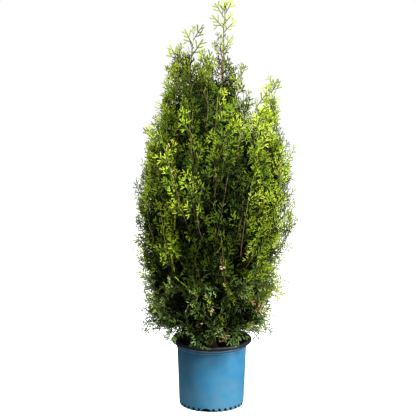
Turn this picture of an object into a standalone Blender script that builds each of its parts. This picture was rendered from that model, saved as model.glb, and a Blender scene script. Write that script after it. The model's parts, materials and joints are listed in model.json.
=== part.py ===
"""Potted arborvitae: a young several-stemmed evergreen in a plastic nursery pot.

Metres, +Z up. The origin is the centre of the pot's flat underside. +X is the viewer's right
and -Y is the side that faces the viewer. The trunk runs up through the crown with six ascending
limbs round it, and every mass of foliage keeps to its own share of the crown's space.
"""

import math
import random

import bmesh
import bpy
from mathutils import Vector
from mathutils.bvhtree import BVHTree

# Pot, a trade 2 gallon size: 240 mm over the rolled lip
FOOT_RADIUS = 0.097
WALL_TOP_RADIUS = 0.104
BAND_RADIUS = 0.1065
LIP_RADIUS = 0.1205
POT_HEIGHT = 0.204
BAND_HEIGHT = 0.014
LIP_HEIGHT = 0.0125
STEP_HEIGHT = 0.0015
WALL = 0.002
FLOOR = 0.003
POT_SIDES = 36
DRAIN_COUNT = 4
DRAIN_TURN = math.radians(-100)
DRAIN_WIDTH = 0.026
DRAIN_HEIGHT = 0.009
SLOTS_BETWEEN_DRAINS = 7
SLOT_WIDTH = 0.0045
SLOT_HEIGHT = 0.007
SOIL_TOP = 0.174

# Clearance between solids that would touch
GAP = 0.0003

# Trunk
TRUNK_FOOT = SOIL_TOP + GAP
TRUNK_TIP = 1.10
TRUNK_LEAN = 0.034
TRUNK_FOOT_RADIUS = 0.0095
TRUNK_TIP_RADIUS = 0.0016
FLARE_RADIUS = 0.0085
FLARE_HEIGHT = 0.014

# Crown: how far the foliage reaches from the trunk at each height
PLANT_TOP = 1.20
CROWN_FOOT = 0.207
CROWN_WIDE = 0.52
CROWN_TOP = 1.10
CROWN_RADIUS = 0.278
SHOULDER = 0.70  # below it the crown is one body, above it separate spires
SIDE_SWELL = 0.055

# Limbs: name, azimuth from +X, foot on the trunk, spread of the tip, height of its spire
LIMBS = (
    ("right", 0, 0.300, 0.165, 0.990),
    ("back_right", 60, 0.255, 0.130, 0.960),
    ("back_left", 122, 0.320, 0.150, 1.060),
    ("left", 180, 0.275, 0.126, 1.020),
    ("front_left", 240, 0.235, 0.110, 1.130),
    ("front_right", 303, 0.340, 0.150, 1.030),
)
LIMB_FOOT_RADIUS = 0.0052
LIMB_TIP_RADIUS = 0.0022
LIMB_END = SHOULDER + 0.006
LEADER_FLOORS = (SHOULDER, 0.83, 0.96, 1.09)  # levels between the masses round the trunk's top

# Tiers of foliage between two limbs: the height of each tier's floor at the trunk, and its rise outwards
TIER_FLOORS = (
    ((0.207, 0.00), (0.236, 0.45), (0.290, 0.90), (0.365, 1.15), (0.450, 1.15)),
    ((0.207, 0.00), (0.255, 0.65), (0.330, 1.05), (0.420, 1.15)),
)
STEM_STOP = 0.04  # how far under the shoulder a tier's stem ends
FOOT_SHARE = 0.40  # where a tier's stem leaves the trunk, as a share of the tier's height there
BOUGH_TIERS = 2  # the lowest tiers stand on boughs, the rest on the trunk
BOUGH_SHARE = 0.42
BOUGH_RADIUS = 0.0032
STEM_RADIUS = 0.0021
TWIG_RADIUS = 0.0013

# Sprays: flat toothed blades, larger than life
SPRAY_LENGTH = 0.092
SPRAY_WIDTH = 0.060
SPRAY_THICKNESS = 0.0016
CORE_SHARE = 0.62  # share of a tier's width and height that its core takes
CORE_FOOT = 0.10  # where it starts and how far out it goes, as shares of the stem's length
CORE_REACH = 1.15
SPIRE_CORE = 0.035
LEADER_CORE = 0.030
SPIRE_CORE_FOOT = 0.02  # share of a spire's stem that stays bare under its core
KEEP_OFF = 0.0012  # how far foliage stays inside its own space and off the limbs
MERGE = 0.00001  # points of a fused mass nearer than this become one
NUDGE = 0.0002  # how far its pieces shift when a union has to be made again
SEED = 12

UP = Vector((0, 0, 1))
LEAF_GREEN = (0.075, 0.155, 0.022)
BARK_BROWN = (0.17, 0.075, 0.045)
POT_BLUE = (0.045, 0.27, 0.47)
SOIL_BROWN = (0.035, 0.022, 0.015)


def smooth(x, low, high):
    """0 below low, 1 above high, and an even S between them."""
    t = min(1.0, max(0.0, (x - low) / (high - low)))
    return t * t * (3 - 2 * t)


def heading(degrees):
    """The level direction at this azimuth."""
    return Vector((math.cos(math.radians(degrees)), math.sin(math.radians(degrees)), 0))


def material(name, colour, roughness):
    made = bpy.data.materials.new(name)
    made.use_nodes = True
    shader = made.node_tree.nodes["Principled BSDF"]
    shader.inputs["Base Color"].default_value = (*colour, 1)
    shader.inputs["Roughness"].default_value = roughness
    shader.inputs["Metallic"].default_value = 0
    return made


def place(name, mesh, finish):
    """A mesh as a named object of the part."""
    mesh.materials.append(finish)
    made = bpy.data.objects.new(name, mesh)
    bpy.context.scene.collection.objects.link(made)
    return made


# Pot and potting mix
def turned(name, profile, sides):
    """A profile of (radius, height) that starts and ends on the axis, turned about it."""
    shape = bmesh.new()
    verts = [shape.verts.new((r, 0, z)) for r, z in profile]
    edges = [shape.edges.new(pair) for pair in zip(verts, verts[1:])]
    bmesh.ops.spin(
        shape, geom=verts + edges, cent=(0, 0, 0), axis=(0, 0, 1),
        angle=2 * math.pi, steps=sides, use_merge=True,
    )
    bmesh.ops.remove_doubles(shape, verts=shape.verts, dist=1e-6)
    bmesh.ops.recalc_face_normals(shape, faces=shape.faces)
    mesh = bpy.data.meshes.new(name)
    shape.to_mesh(mesh)
    shape.free()
    mesh.shade_smooth()
    mesh.set_sharp_from_angle(angle=math.radians(35))
    return mesh


def wall_radius(z):
    """Outside of the tapered wall under the band."""
    return FOOT_RADIUS + (WALL_TOP_RADIUS - FOOT_RADIUS) * z / (POT_HEIGHT - LIP_HEIGHT - BAND_HEIGHT)


def pot_profile():
    """Round the wall's section: underside, outside, rolled lip, inside, floor."""
    lip_foot = POT_HEIGHT - LIP_HEIGHT
    step = lip_foot - BAND_HEIGHT
    lip_middle = POT_HEIGHT - LIP_HEIGHT / 2
    roll = LIP_HEIGHT / 2
    outside = [(0, 0), (FOOT_RADIUS - 0.001, 0), (FOOT_RADIUS, 0.001)]
    outside += [(WALL_TOP_RADIUS, step), (BAND_RADIUS, step + STEP_HEIGHT), (BAND_RADIUS, lip_foot)]
    lip = []
    for degrees in (-75, -20, 35, 90):
        turn = math.radians(degrees)
        lip.append((LIP_RADIUS - roll + roll * math.cos(turn), lip_middle + roll * math.sin(turn)))
    inside = [(BAND_RADIUS - WALL, lip_foot - WALL), (BAND_RADIUS - WALL, step + STEP_HEIGHT + WALL / 2)]
    inside += [(WALL_TOP_RADIUS - WALL, step), (wall_radius(FLOOR) - WALL, FLOOR), (0, FLOOR)]
    return outside + lip + inside


def cutter(name, turn, width, height, inner, outer):
    """An arch-headed block that cuts one drain or slot through the foot of the wall."""
    shape = bmesh.new()
    section = [(-width / 2, -0.004), (width / 2, -0.004), (width / 2, 0.55 * height)]
    section += [(0.3 * width, height), (-0.3 * width, height), (-width / 2, 0.55 * height)]
    ring = [shape.verts.new((inner, across, z)) for across, z in section]
    face = shape.faces.new(ring)
    grown = bmesh.ops.extrude_face_region(shape, geom=[face])
    moved = [v for v in grown["geom"] if isinstance(v, bmesh.types.BMVert)]
    bmesh.ops.translate(shape, verts=moved, vec=(outer - inner, 0, 0))
    bmesh.ops.recalc_face_normals(shape, faces=shape.faces)
    mesh = bpy.data.meshes.new(name)
    shape.to_mesh(mesh)
    shape.free()
    made = bpy.data.objects.new(name, mesh)
    made.rotation_euler.z = turn
    made.hide_render = True
    made.display_type = "WIRE"
    return made


def build_pot():
    pot = place("pot", turned("pot", pot_profile(), POT_SIDES), material("pot_plastic", POT_BLUE, 0.38))
    cutters = bpy.data.collections.new("foot_cutters")
    bpy.context.scene.collection.children.link(cutters)
    quarter = 2 * math.pi / DRAIN_COUNT
    clear = DRAIN_WIDTH / FOOT_RADIUS
    pitch = (quarter - clear) / SLOTS_BETWEEN_DRAINS
    for drain in range(DRAIN_COUNT):
        turn = DRAIN_TURN + drain * quarter
        cutters.objects.link(
            cutter(f"drain_{drain}", turn, DRAIN_WIDTH, DRAIN_HEIGHT, FOOT_RADIUS - 0.012, FOOT_RADIUS + 0.01)
        )
        for slot in range(SLOTS_BETWEEN_DRAINS):
            at = turn + clear / 2 + (slot + 0.5) * pitch
            cutters.objects.link(
                cutter(f"slot_{drain}_{slot}", at, SLOT_WIDTH, SLOT_HEIGHT, FOOT_RADIUS - 0.0035, FOOT_RADIUS + 0.01)
            )
    cut = pot.modifiers.new("foot openings", "BOOLEAN")
    cut.operation = "DIFFERENCE"
    cut.operand_type = "COLLECTION"
    cut.collection = cutters
    cutters.hide_render = True
    return pot


def build_potting_mix():
    bottom = FLOOR + GAP
    profile = [(0, bottom), (wall_radius(bottom) - WALL - GAP, bottom)]
    profile += [(wall_radius(SOIL_TOP) - WALL - GAP, SOIL_TOP), (0, SOIL_TOP)]
    return place("potting_mix", turned("potting_mix", profile, POT_SIDES), material("potting_mix", SOIL_BROWN, 0.95))


# Tubes: trunk, limbs, boughs, stems and twigs
def curve(start, bend, end):
    """A quadratic curve as a function of its share from 0 to 1."""
    return lambda t: (1 - t) ** 2 * start + 2 * t * (1 - t) * bend + t * t * end


def part_of(path, low, high):
    """The stretch of a path from share low to share high, as a path of its own."""
    return lambda t: path(low + (high - low) * t)


def tangent(path, t):
    return (path(min(1.0, t + 0.01)) - path(max(0.0, t - 0.01))).normalized()


def trunk_axis(z):
    """The trunk rises straight from the mix and leans to the right in its upper half."""
    return Vector((TRUNK_LEAN * smooth(z, 0.60, 1.05), 0.004 * math.sin(9 * z), z))


def trunk_radius(z):
    rise = (z - TRUNK_FOOT) / (TRUNK_TIP - TRUNK_FOOT)
    taper = TRUNK_FOOT_RADIUS + (TRUNK_TIP_RADIUS - TRUNK_FOOT_RADIUS) * rise**0.8
    return taper + FLARE_RADIUS * math.exp(-(z - TRUNK_FOOT) / FLARE_HEIGHT)


def tube(path, radius, sides, rings, cut=None, height=None):
    """(points, faces) of a closed tube of radius(t) round path(t), and of height(t) upwards where
    that is another. cut is (point, normal) of a plane on which the first ring lies, slid there
    along the path."""
    points, faces = [], []
    across = tangent(path, 0).cross(UP)
    across = (across if across.length > 0.05 else Vector((1, 0, 0))).normalized()
    for ring in range(rings):
        t = ring / (rings - 1)
        along = tangent(path, t)
        across = (across - along * across.dot(along)).normalized()
        other = along.cross(across)
        for side in range(sides):
            turn = 2 * math.pi * side / sides
            point = path(t) + radius(t) * math.cos(turn) * across + (height or radius)(t) * math.sin(turn) * other
            if ring == 0 and cut:
                point += along * ((cut[0] - point).dot(cut[1]) / along.dot(cut[1]))
            points.append(point)
    for ring in range(rings - 1):
        for side in range(sides):
            a, b = ring * sides + side, ring * sides + (side + 1) % sides
            faces.append((a, b, b + sides, a + sides))
    faces.append(tuple(reversed(range(sides))))
    faces.append(tuple(range((rings - 1) * sides, rings * sides)))
    return points, faces


def tapered(foot, tip):
    return lambda t: foot + (tip - foot) * t


def as_mesh(name, shape):
    mesh = bpy.data.meshes.new(name)
    mesh.from_pydata([tuple(p) for p in shape[0]], [], shape[1])
    mesh.update()
    return mesh


def on_trunk(z, direction):
    """(point, normal) of the plane that faces the trunk's side at this height, a gap clear of it."""
    lean = (trunk_axis(z + 0.01) - trunk_axis(z - 0.01)).normalized()
    normal = (direction - lean * direction.dot(lean)).normalized()
    return trunk_axis(z) + normal * (trunk_radius(z - 0.01) + GAP), normal


def build_trunk(bark):
    height = TRUNK_TIP - TRUNK_FOOT
    # rings crowd towards the foot, where the root flare is
    path = lambda t: trunk_axis(TRUNK_FOOT + height * t**1.6)
    radius = lambda t: trunk_radius(TRUNK_FOOT + height * t**1.6)
    points, faces = tube(path, radius, 10, 18)
    for point in points[:10]:
        point.z = TRUNK_FOOT
    made = place("trunk", as_mesh("trunk", (points, faces)), bark)
    made.data.shade_smooth()
    return made


def limb_seat(limb):
    return on_trunk(limb[2], heading(limb[1]))


def limb_path(limb):
    """From the trunk's side outwards and then up, in one upright plane."""
    _, azimuth, foot, spread, _ = limb
    out = heading(azimuth)
    start = limb_seat(limb)[0]
    end = out * spread + UP * LIMB_END
    bend = out * (0.95 * spread) + UP * (foot + 0.38 * (LIMB_END - foot))
    return curve(start, bend, end)


def build_limb(limb, bark):
    radius = tapered(LIMB_FOOT_RADIUS, LIMB_TIP_RADIUS)
    shape = tube(limb_path(limb), radius, 7, 12, limb_seat(limb))
    made = place(f"limb_{limb[0]}", as_mesh(limb[0], shape), bark)
    made.data.shade_smooth()
    return made


# Spaces: each mass stays on the inner side of a few planes, and inside the crown
def crown_reach(z, azimuth):
    """How far foliage reaches from the axis at this height and azimuth in radians."""
    if z > CROWN_WIDE:
        rise = min(1.0, (z - CROWN_WIDE) / (CROWN_TOP - CROWN_WIDE))
        reach = CROWN_RADIUS * (1 - rise**2.2) ** 0.83
    else:
        drop = (CROWN_WIDE - z) / (CROWN_WIDE - CROWN_FOOT)
        reach = CROWN_RADIUS * (1 - 0.40 * drop**3)
    swell = SIDE_SWELL * math.cos(azimuth) * (2 * smooth(z, 0.25, 0.65) - 1)
    ripple = 0.035 * math.sin(5 * azimuth + 17 * z) + 0.025 * math.sin(9 * azimuth - 31 * z)
    return reach * (1 + swell + ripple)


def within(planes, points, crowned=True):
    """Whether all the points keep inside the planes, (point, inward normal) each, and the crown."""
    for point in points:
        if any((point - at).dot(inward) < KEEP_OFF for at, inward in planes):
            return False
        if crowned:
            if math.hypot(point.x, point.y) > crown_reach(point.z, math.atan2(point.y, point.x)):
                return False
        elif point.z > PLANT_TOP:
            return False
    return True


def sector_planes(low, high):
    """Two upright planes through the axis, which bound the sector from azimuth low to high."""
    return [(Vector(), UP.cross(heading(low))), (Vector(), heading(high).cross(UP))]


def tier_planes(low, high, floor, roof):
    """The planes of one tier's space between two limbs; floor and roof are (height, rise)."""
    middle = heading((low + high) / 2)
    planes = sector_planes(low, high)
    planes.append((UP * floor[0], (UP - middle * floor[1]).normalized()))
    planes.append((UP * roof[0], (middle * roof[1] - UP).normalized()))
    planes.append((UP * SHOULDER, -UP))
    return planes


def spire_planes(centre, others):
    """Above the shoulder, the space nearer to this spire than to any other."""
    planes = [(UP * SHOULDER, UP)]
    for other in others:
        planes.append(((centre + other) / 2, (centre - other).normalized()))
    return planes


# Foliage
def blade(root, along, across, length, width, teeth):
    """(points, faces) of a flat forked spray with this many teeth on each side of its tip."""
    outline = [(0.0, -0.05)]
    for tooth in range(teeth):
        share = (tooth + 1) / (teeth + 1)
        outline.append((0.26 + 0.64 * share, -0.5 * (1.2 - 0.5 * share)))
        outline.append((0.16 + 0.62 * share, -0.12 * (1.3 - 0.5 * share)))
    outline = outline + [(1.0, 0.0)] + [(x, -y) for x, y in reversed(outline)]
    normal = along.cross(across).normalized() * (SPRAY_THICKNESS / 2)
    flat = [root + along * (x * length) + across * (y * width) for x, y in outline]
    count = len(flat)
    points = [p - normal for p in flat] + [p + normal for p in flat]
    faces = [tuple(reversed(range(count))), tuple(range(count, 2 * count))]
    faces += [(i, (i + 1) % count, (i + 1) % count + count, i + count) for i in range(count)]
    return points, faces


def tree_of(shapes):
    """A search tree over all the faces of several shapes."""
    points, faces = [], []
    for some_points, some_faces in shapes:
        faces += [tuple(i + len(points) for i in face) for face in some_faces]
        points += some_points
    return BVHTree.FromPolygons(points, faces)


def clear_of(shape, trees):
    """Whether a shape touches none of the search trees' faces."""
    own = tree_of([shape])
    return not any(own.overlap(tree) for tree in trees)


def free(shape, planes, limbs, crowned):
    """Whether a twig or spray keeps to its space and touches no limb."""
    return within(planes, shape[0], crowned) and clear_of(shape, limbs)


def bud(t):
    """Outline of a tier's core: pointed at both ends, widest past the middle."""
    return math.sin(math.pi * t**1.25) ** 0.6


def plume(t):
    """Outline of a spire's core: a blunt foot and a long point."""
    return math.sin(math.pi * (0.03 + 0.97 * t**0.7)) ** 0.7


def core_of(path, planes, limbs, crowned, wide, tall, swell):
    """A faceted body round a dense mass's stem, which sprays stand out of. wide(p) and tall(p) are
    its half width and half height near point p; it is made smaller where its space asks for that."""
    for shrink in (1.0, 0.9, 0.8, 0.7, 0.6, 0.5, 0.4, 0.3):
        across = lambda t: 0.0015 + shrink * wide(path(t)) * swell(t)
        upward = lambda t: 0.0015 + shrink * tall(path(t)) * swell(t)
        shape = tube(path, across, 6, 4, height=upward)
        if free(shape, planes, limbs, crowned):
            return [shape]
    return []


def grow(rng, path, planes, limbs, twigs, crowned=True, foot=0.25, size=1.0):
    """The twigs and sprays of one mass: they leave its stem by turns on either side, and each twig
    ends in one spray, every second one with another halfway. What leaves the space or touches a
    limb is tried smaller, and then skipped."""
    shapes = []

    def spray(root, along, face, scale, teeth):
        across = along.cross(face).normalized()
        for shrink in (1.0, 0.8, 0.6):
            length, width = SPRAY_LENGTH * scale * shrink, SPRAY_WIDTH * scale * shrink
            shape = blade(root, along, across, length, width, teeth)
            if free(shape, planes, limbs, crowned):
                shapes.append(shape)
                return

    for twig in range(twigs):
        t = foot + (0.94 - foot) * twig / max(1, twigs - 1) + rng.uniform(-0.03, 0.03)
        along = tangent(path, t)
        side = along.cross(UP)
        side = (side if side.length > 0.2 else heading(rng.uniform(0, 360))).normalized()
        turn = rng.uniform(-0.6, 0.6) + (math.pi if twig % 2 else 0)
        outward = (math.cos(turn) * side + math.sin(turn) * side.cross(along)).normalized()
        direction = (0.70 * along + 0.66 * outward + rng.uniform(0.1, 0.4) * UP).normalized()
        length = size * (0.105 - 0.045 * t) * rng.uniform(0.85, 1.15)
        for shrink in (1.0, 0.75, 0.5):
            start, end = path(t), path(t) + direction * length * shrink
            line = curve(start, (start + end) / 2 - 0.06 * length * UP, end)
            shape = tube(line, tapered(TWIG_RADIUS, 0.7 * TWIG_RADIUS), 3, 2)
            if free(shape, planes, limbs, crowned):
                break
        else:
            continue
        shapes.append(shape)
        ending = (tangent(line, 1) + 0.2 * UP).normalized()
        face = (ending.cross(UP) + 0.6 * Vector([rng.uniform(-1, 1) for _ in range(3)])).normalized()
        spray(line(0.85), ending, face, size * rng.uniform(0.9, 1.15), 1)
        if twig % 2 == 0:
            lean = rng.choice((-1, 1))
            branch = (ending + lean * 0.8 * ending.cross(face).normalized() + 0.2 * UP).normalized()
            spray(line(0.6), branch, face, size * rng.uniform(0.8, 1.0), 1)
    ending = tangent(path, 1)
    spray(path(0.97), ending, ending.cross(heading(rng.uniform(0, 360))).normalized(), 1.1 * size, 2)
    return shapes


def one_fan(vert):
    """Whether the faces round a vertex make a single fan, so that no two skins meet in it."""
    fan, growing = set(), [vert.link_faces[0]]
    while growing:
        face = growing.pop()
        fan.add(face)
        for edge in face.edges:
            if vert in edge.verts:
                growing += [other for other in edge.link_faces if other not in fan]
    return len(fan) == len(vert.link_faces)


def body_of(mesh):
    """Keep only the largest closed skin of a mesh: sealed hollows are filled, loose scraps dropped.
    Says whether what is left is sound: two faces to every edge, with points clear of each other."""
    shape = bmesh.new()
    shape.from_mesh(mesh)
    bmesh.ops.remove_doubles(shape, verts=shape.verts, dist=MERGE)
    bmesh.ops.dissolve_degenerate(shape, edges=shape.edges, dist=MERGE)
    bmesh.ops.triangulate(shape, faces=shape.faces)
    waiting = set(shape.faces)
    skins = []
    while waiting:
        skin, growing = [], [waiting.pop()]
        while growing:
            face = growing.pop()
            skin.append(face)
            for edge in face.edges:
                for other in edge.link_faces:
                    if other in waiting:
                        waiting.discard(other)
                        growing.append(other)
        skins.append(skin)
    skins.sort(key=len)
    for skin in skins[:-1]:
        bmesh.ops.delete(shape, geom=skin, context="FACES")
    loose = [vert for vert in shape.verts if not vert.link_faces]
    bmesh.ops.delete(shape, geom=loose, context="VERTS")
    sound = all(len(edge.link_faces) == 2 for edge in shape.edges)
    sound = sound and all(one_fan(vert) for vert in shape.verts)
    shape.to_mesh(mesh)
    shape.free()
    return sound


def union(name, stem, shapes):
    """The mesh of a stem joined with all the shapes, by one union on a collection."""
    base = bpy.data.objects.new(name, as_mesh(name, stem))
    bpy.context.scene.collection.objects.link(base)
    pieces = bpy.data.collections.new(f"{name}_pieces")
    bpy.context.scene.collection.children.link(pieces)
    for index, shape in enumerate(shapes):
        pieces.objects.link(bpy.data.objects.new(f"{name}_{index}", as_mesh(name, shape)))
    joint = base.modifiers.new("fused", "BOOLEAN")
    joint.operation = "UNION"
    joint.operand_type = "COLLECTION"
    joint.collection = pieces
    joint.solver = "MANIFOLD"
    bpy.context.view_layer.update()
    fused = bpy.data.meshes.new_from_object(base.evaluated_get(bpy.context.evaluated_depsgraph_get()))
    for helper in [base, *pieces.objects]:
        bpy.data.objects.remove(helper)
    bpy.data.collections.remove(pieces)
    return fused


def fuse(name, stem, shapes, finish):
    """One solid of a stem with its twigs and sprays. A union that isn't sound is made again with
    every piece shifted a hair, and with one piece fewer, from the last, after each two tries."""
    rng = random.Random(f"{SEED} {name}")
    tries = 0
    moved = shapes
    while True:
        fused = union(name, stem, moved)
        if body_of(fused):
            return place(name, fused, finish)
        tries += 1
        kept = shapes[: len(shapes) - tries // 2]
        moved = []
        for points, faces in kept:
            shift = Vector([rng.uniform(-NUDGE, NUDGE) for _ in range(3)])
            moved.append(([p + shift for p in points], faces))


def build_crown(bark, leaf):
    """Every mass of foliage, with the boughs that carry the lowest of them."""
    trunk, limbs = fat_trunk(), fat_limbs()
    for index, limb in enumerate(LIMBS):
        low, high = limb[1], LIMBS[(index + 1) % len(LIMBS)][1]
        build_sector(index, low, high if high > low else high + 360, trunk, limbs, bark, leaf)
    build_spires([trunk, limbs], leaf)


def stem_path(foot, floor, roof, azimuth):
    """(seat, path) of the stem of one tier's mass: it rises outwards from the trunk at this height."""
    out = heading(azimuth)
    slope = 0.5 * (floor[1] + roof[1])
    spread = min(0.60 * crown_reach(foot + 0.08, math.radians(azimuth)), (SHOULDER - STEM_STOP - foot) / slope)
    seat = on_trunk(foot, out)
    end = out * spread + UP * (foot + slope * spread)
    return seat, curve(seat[0], 0.5 * (seat[0] + end) - UP * 0.006, end)


def ceiling(roof, point):
    """Height of a tier's roof over this point, which the shoulder of the crown cuts off."""
    return min(SHOULDER, roof[0] + roof[1] * math.hypot(point.x, point.y))


def sector_stems(floors, azimuth, limbs):
    """(seat, path, search tree) of each tier's stem. One that would meet a limb or the stem below
    leaves the trunk a little higher."""
    stems = []
    for tier, floor in enumerate(floors[:-1]):
        roof = floors[tier + 1]
        foot = floor[0] + FOOT_SHARE * (roof[0] - floor[0])
        while True:
            seat, path = stem_path(foot, floor, roof, azimuth)
            fat = tube(path, tapered(BOUGH_RADIUS + KEEP_OFF, STEM_RADIUS + KEEP_OFF), 6, 8, seat)
            if clear_of(fat, [limbs] + [stem[2] for stem in stems]):
                break
            foot += 0.003
        stems.append((seat, path, tree_of([fat])))
    return stems


def build_sector(index, low, high, trunk, limbs, bark, leaf):
    """The tiers between two limbs, each with a stem that rises outwards through its space."""
    floors = TIER_FLOORS[index % 2] + ((SHOULDER, 1.4),)
    stems = sector_stems(floors, (low + high) / 2, limbs)
    for tier, (seat, path, own) in enumerate(stems):
        floor, roof = floors[tier : tier + 2]
        rng = random.Random(f"{SEED} tier {index} {tier}")
        planes = tier_planes(low, high, floor, roof)
        avoid = [trunk, limbs] + [stem[2] for stem in stems if stem[2] is not own]
        name = f"tier_{index + 1}_{tier + 1}"
        if tier < BOUGH_TIERS:
            lower = part_of(path, 0, BOUGH_SHARE)
            bough = tube(lower, tapered(BOUGH_RADIUS, STEM_RADIUS + 0.0004), 6, 4, seat)
            place(f"bough_{index + 1}_{tier + 1}", as_mesh("bough", bough), bark)
            avoid.append(tree_of([tube(lower, tapered(BOUGH_RADIUS + KEEP_OFF, STEM_RADIUS + KEEP_OFF), 6, 4)]))
            path = part_of(path, BOUGH_SHARE + GAP / (path(1) - path(0)).length, 1)
            stem = tube(path, tapered(STEM_RADIUS, TWIG_RADIUS), 3, 4)
            foliage = grow(rng, path, planes, avoid, 4, foot=0.15)
        else:
            stem = tube(path, tapered(STEM_RADIUS, TWIG_RADIUS), 3, 4, seat)
            foliage = grow(rng, path, planes, avoid, 4, foot=0.35)
        half = math.tan(math.radians(high - low) / 2)
        wide = lambda p: CORE_SHARE * half * math.hypot(p.x, p.y)
        tall = lambda p: CORE_SHARE / 2 * (ceiling(roof, p) - floor[0] - floor[1] * math.hypot(p.x, p.y))
        core = core_of(part_of(path, CORE_FOOT, CORE_REACH), planes, avoid, True, wide, tall, bud)
        fuse(name, stem, core + foliage, leaf)


def build_spires(avoid, leaf):
    """A spire on each limb's tip, three masses round the trunk above the shoulder, and its own tip."""
    axis = trunk_axis(SHOULDER).xy.to_3d()
    centres = [heading(azimuth) * spread for _, azimuth, _, spread, _ in LIMBS]
    for limb, centre in zip(LIMBS, centres):
        rng = random.Random(f"{SEED} spire {limb[0]}")
        others = [axis] + [c for c in centres if c is not centre]
        below = limb_path(limb)
        start = below(1) + tangent(below, 1) * GAP
        top = limb[4] - 0.8 * SPRAY_LENGTH * 0.75
        end = Vector((centre.x, centre.y, max(top, LIMB_END + 0.03)))
        path = curve(start, (start + end) / 2, end)
        stem = tube(path, tapered(STEM_RADIUS, TWIG_RADIUS), 3, 4)
        planes = spire_planes(centre, others) + [(UP * limb[4], -UP)]
        twigs = 3 + round((limb[4] - SHOULDER) / 0.080)
        foliage = grow(rng, path, planes, avoid, twigs, crowned=False, foot=0.05, size=0.88)
        size = lambda p: SPIRE_CORE
        core = core_of(part_of(path, SPIRE_CORE_FOOT, 1), planes, avoid, False, size, size, plume)
        fuse(f"spire_{limb[0]}", stem, core + foliage, leaf)
    planes = spire_planes(axis, centres)
    for index in range(len(LEADER_FLOORS) - 1):
        rng = random.Random(f"{SEED} leader {index}")
        out = heading(30 + 120 * index)
        floor, roof = LEADER_FLOORS[index : index + 2]
        foot = floor + 0.015
        seat = on_trunk(foot, out)
        end = trunk_axis(roof - 0.035) + out * 0.030
        path = curve(seat[0], seat[0] + out * 0.022 + UP * 0.03, end)
        stem = tube(path, tapered(STEM_RADIUS, TWIG_RADIUS), 3, 4, seat)
        space = planes + [(UP * floor, UP), (UP * roof, -UP)]
        foliage = grow(rng, path, space, avoid, 4, crowned=False, foot=0.2, size=0.6)
        size = lambda p: LEADER_CORE
        core = core_of(part_of(path, CORE_FOOT, 1), space, avoid, False, size, size, bud)
        fuse(f"leader_side_{index + 1}", stem, core + foliage, leaf)
    rng = random.Random(f"{SEED} leader tip")
    start = trunk_axis(TRUNK_TIP) + UP * GAP
    end = Vector((start.x + 0.004, start.y, PLANT_TOP - 0.045))
    path = curve(start, (start + end) / 2, end)
    stem = tube(path, tapered(TRUNK_TIP_RADIUS, 0.001), 3, 3)
    foliage = grow(rng, path, planes + [(UP * TRUNK_TIP, UP)], avoid, 4, crowned=False, foot=0.1, size=0.5)
    fuse("leader_tip", stem, foliage, leaf)


def fat_trunk():
    """A search tree of the trunk, a little fatter than it is."""
    height = TRUNK_TIP - TRUNK_FOOT
    radius = lambda t: trunk_radius(TRUNK_FOOT + height * t) + KEEP_OFF
    return tree_of([tube(lambda t: trunk_axis(TRUNK_FOOT + height * t), radius, 10, 24)])


def fat_limbs():
    """A search tree of the limbs, a little fatter than they are."""
    radius = tapered(LIMB_FOOT_RADIUS + KEEP_OFF, LIMB_TIP_RADIUS + KEEP_OFF)
    return tree_of([tube(limb_path(limb), radius, 7, 16, limb_seat(limb)) for limb in LIMBS])


def main():
    for old in list(bpy.data.objects):
        bpy.data.objects.remove(old)
    bark = material("bark", BARK_BROWN, 0.8)
    leaf = material("foliage", LEAF_GREEN, 0.55)
    build_pot()
    build_potting_mix()
    build_trunk(bark)
    for limb in LIMBS:
        build_limb(limb, bark)
    build_crown(bark, leaf)


main()
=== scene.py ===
# %% [markdown]
# # A potted arborvitae
#
# An arborvitae is an evergreen whose leaves are tiny scales pressed flat on the twigs, so that its
# foliage is a crowd of flat, forked sprays. This one is a young plant of 1.2 m with several leaders,
# in a blue nursery pot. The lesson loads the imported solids, which give every size, and dresses
# them: the pot is turned finer, the stems get bark, and each mass of foliage grows again as real
# sprays, by the same rule that made the solids, carried to finer twigs.

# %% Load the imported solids
import json
import math
import random

import bmesh
import bpy
import numpy as np
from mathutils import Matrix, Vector, noise

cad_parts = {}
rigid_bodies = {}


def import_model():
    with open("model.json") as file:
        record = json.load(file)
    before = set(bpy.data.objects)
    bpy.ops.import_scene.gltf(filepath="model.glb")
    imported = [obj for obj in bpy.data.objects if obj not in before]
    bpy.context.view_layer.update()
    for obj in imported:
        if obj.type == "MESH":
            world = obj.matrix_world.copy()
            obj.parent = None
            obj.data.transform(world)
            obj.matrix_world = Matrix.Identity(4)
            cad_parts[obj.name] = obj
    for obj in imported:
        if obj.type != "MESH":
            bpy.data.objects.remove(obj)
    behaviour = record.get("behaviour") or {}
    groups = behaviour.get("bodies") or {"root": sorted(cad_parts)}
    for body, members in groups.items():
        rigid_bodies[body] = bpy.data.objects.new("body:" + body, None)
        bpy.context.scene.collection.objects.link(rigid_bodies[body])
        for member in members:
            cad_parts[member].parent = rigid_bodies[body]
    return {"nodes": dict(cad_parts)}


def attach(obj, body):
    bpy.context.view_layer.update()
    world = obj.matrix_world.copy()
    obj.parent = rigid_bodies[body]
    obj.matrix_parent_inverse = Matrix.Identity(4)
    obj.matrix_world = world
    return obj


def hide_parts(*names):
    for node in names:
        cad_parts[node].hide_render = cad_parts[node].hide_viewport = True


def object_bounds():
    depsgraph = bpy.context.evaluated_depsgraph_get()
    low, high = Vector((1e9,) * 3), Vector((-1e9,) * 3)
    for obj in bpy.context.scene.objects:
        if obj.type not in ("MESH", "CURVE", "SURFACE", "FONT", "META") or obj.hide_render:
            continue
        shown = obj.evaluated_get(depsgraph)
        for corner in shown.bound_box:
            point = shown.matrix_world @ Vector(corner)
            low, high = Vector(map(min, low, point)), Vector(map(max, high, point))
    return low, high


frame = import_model()
solid_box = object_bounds()
print("solids:", len(frame["nodes"]))

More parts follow.
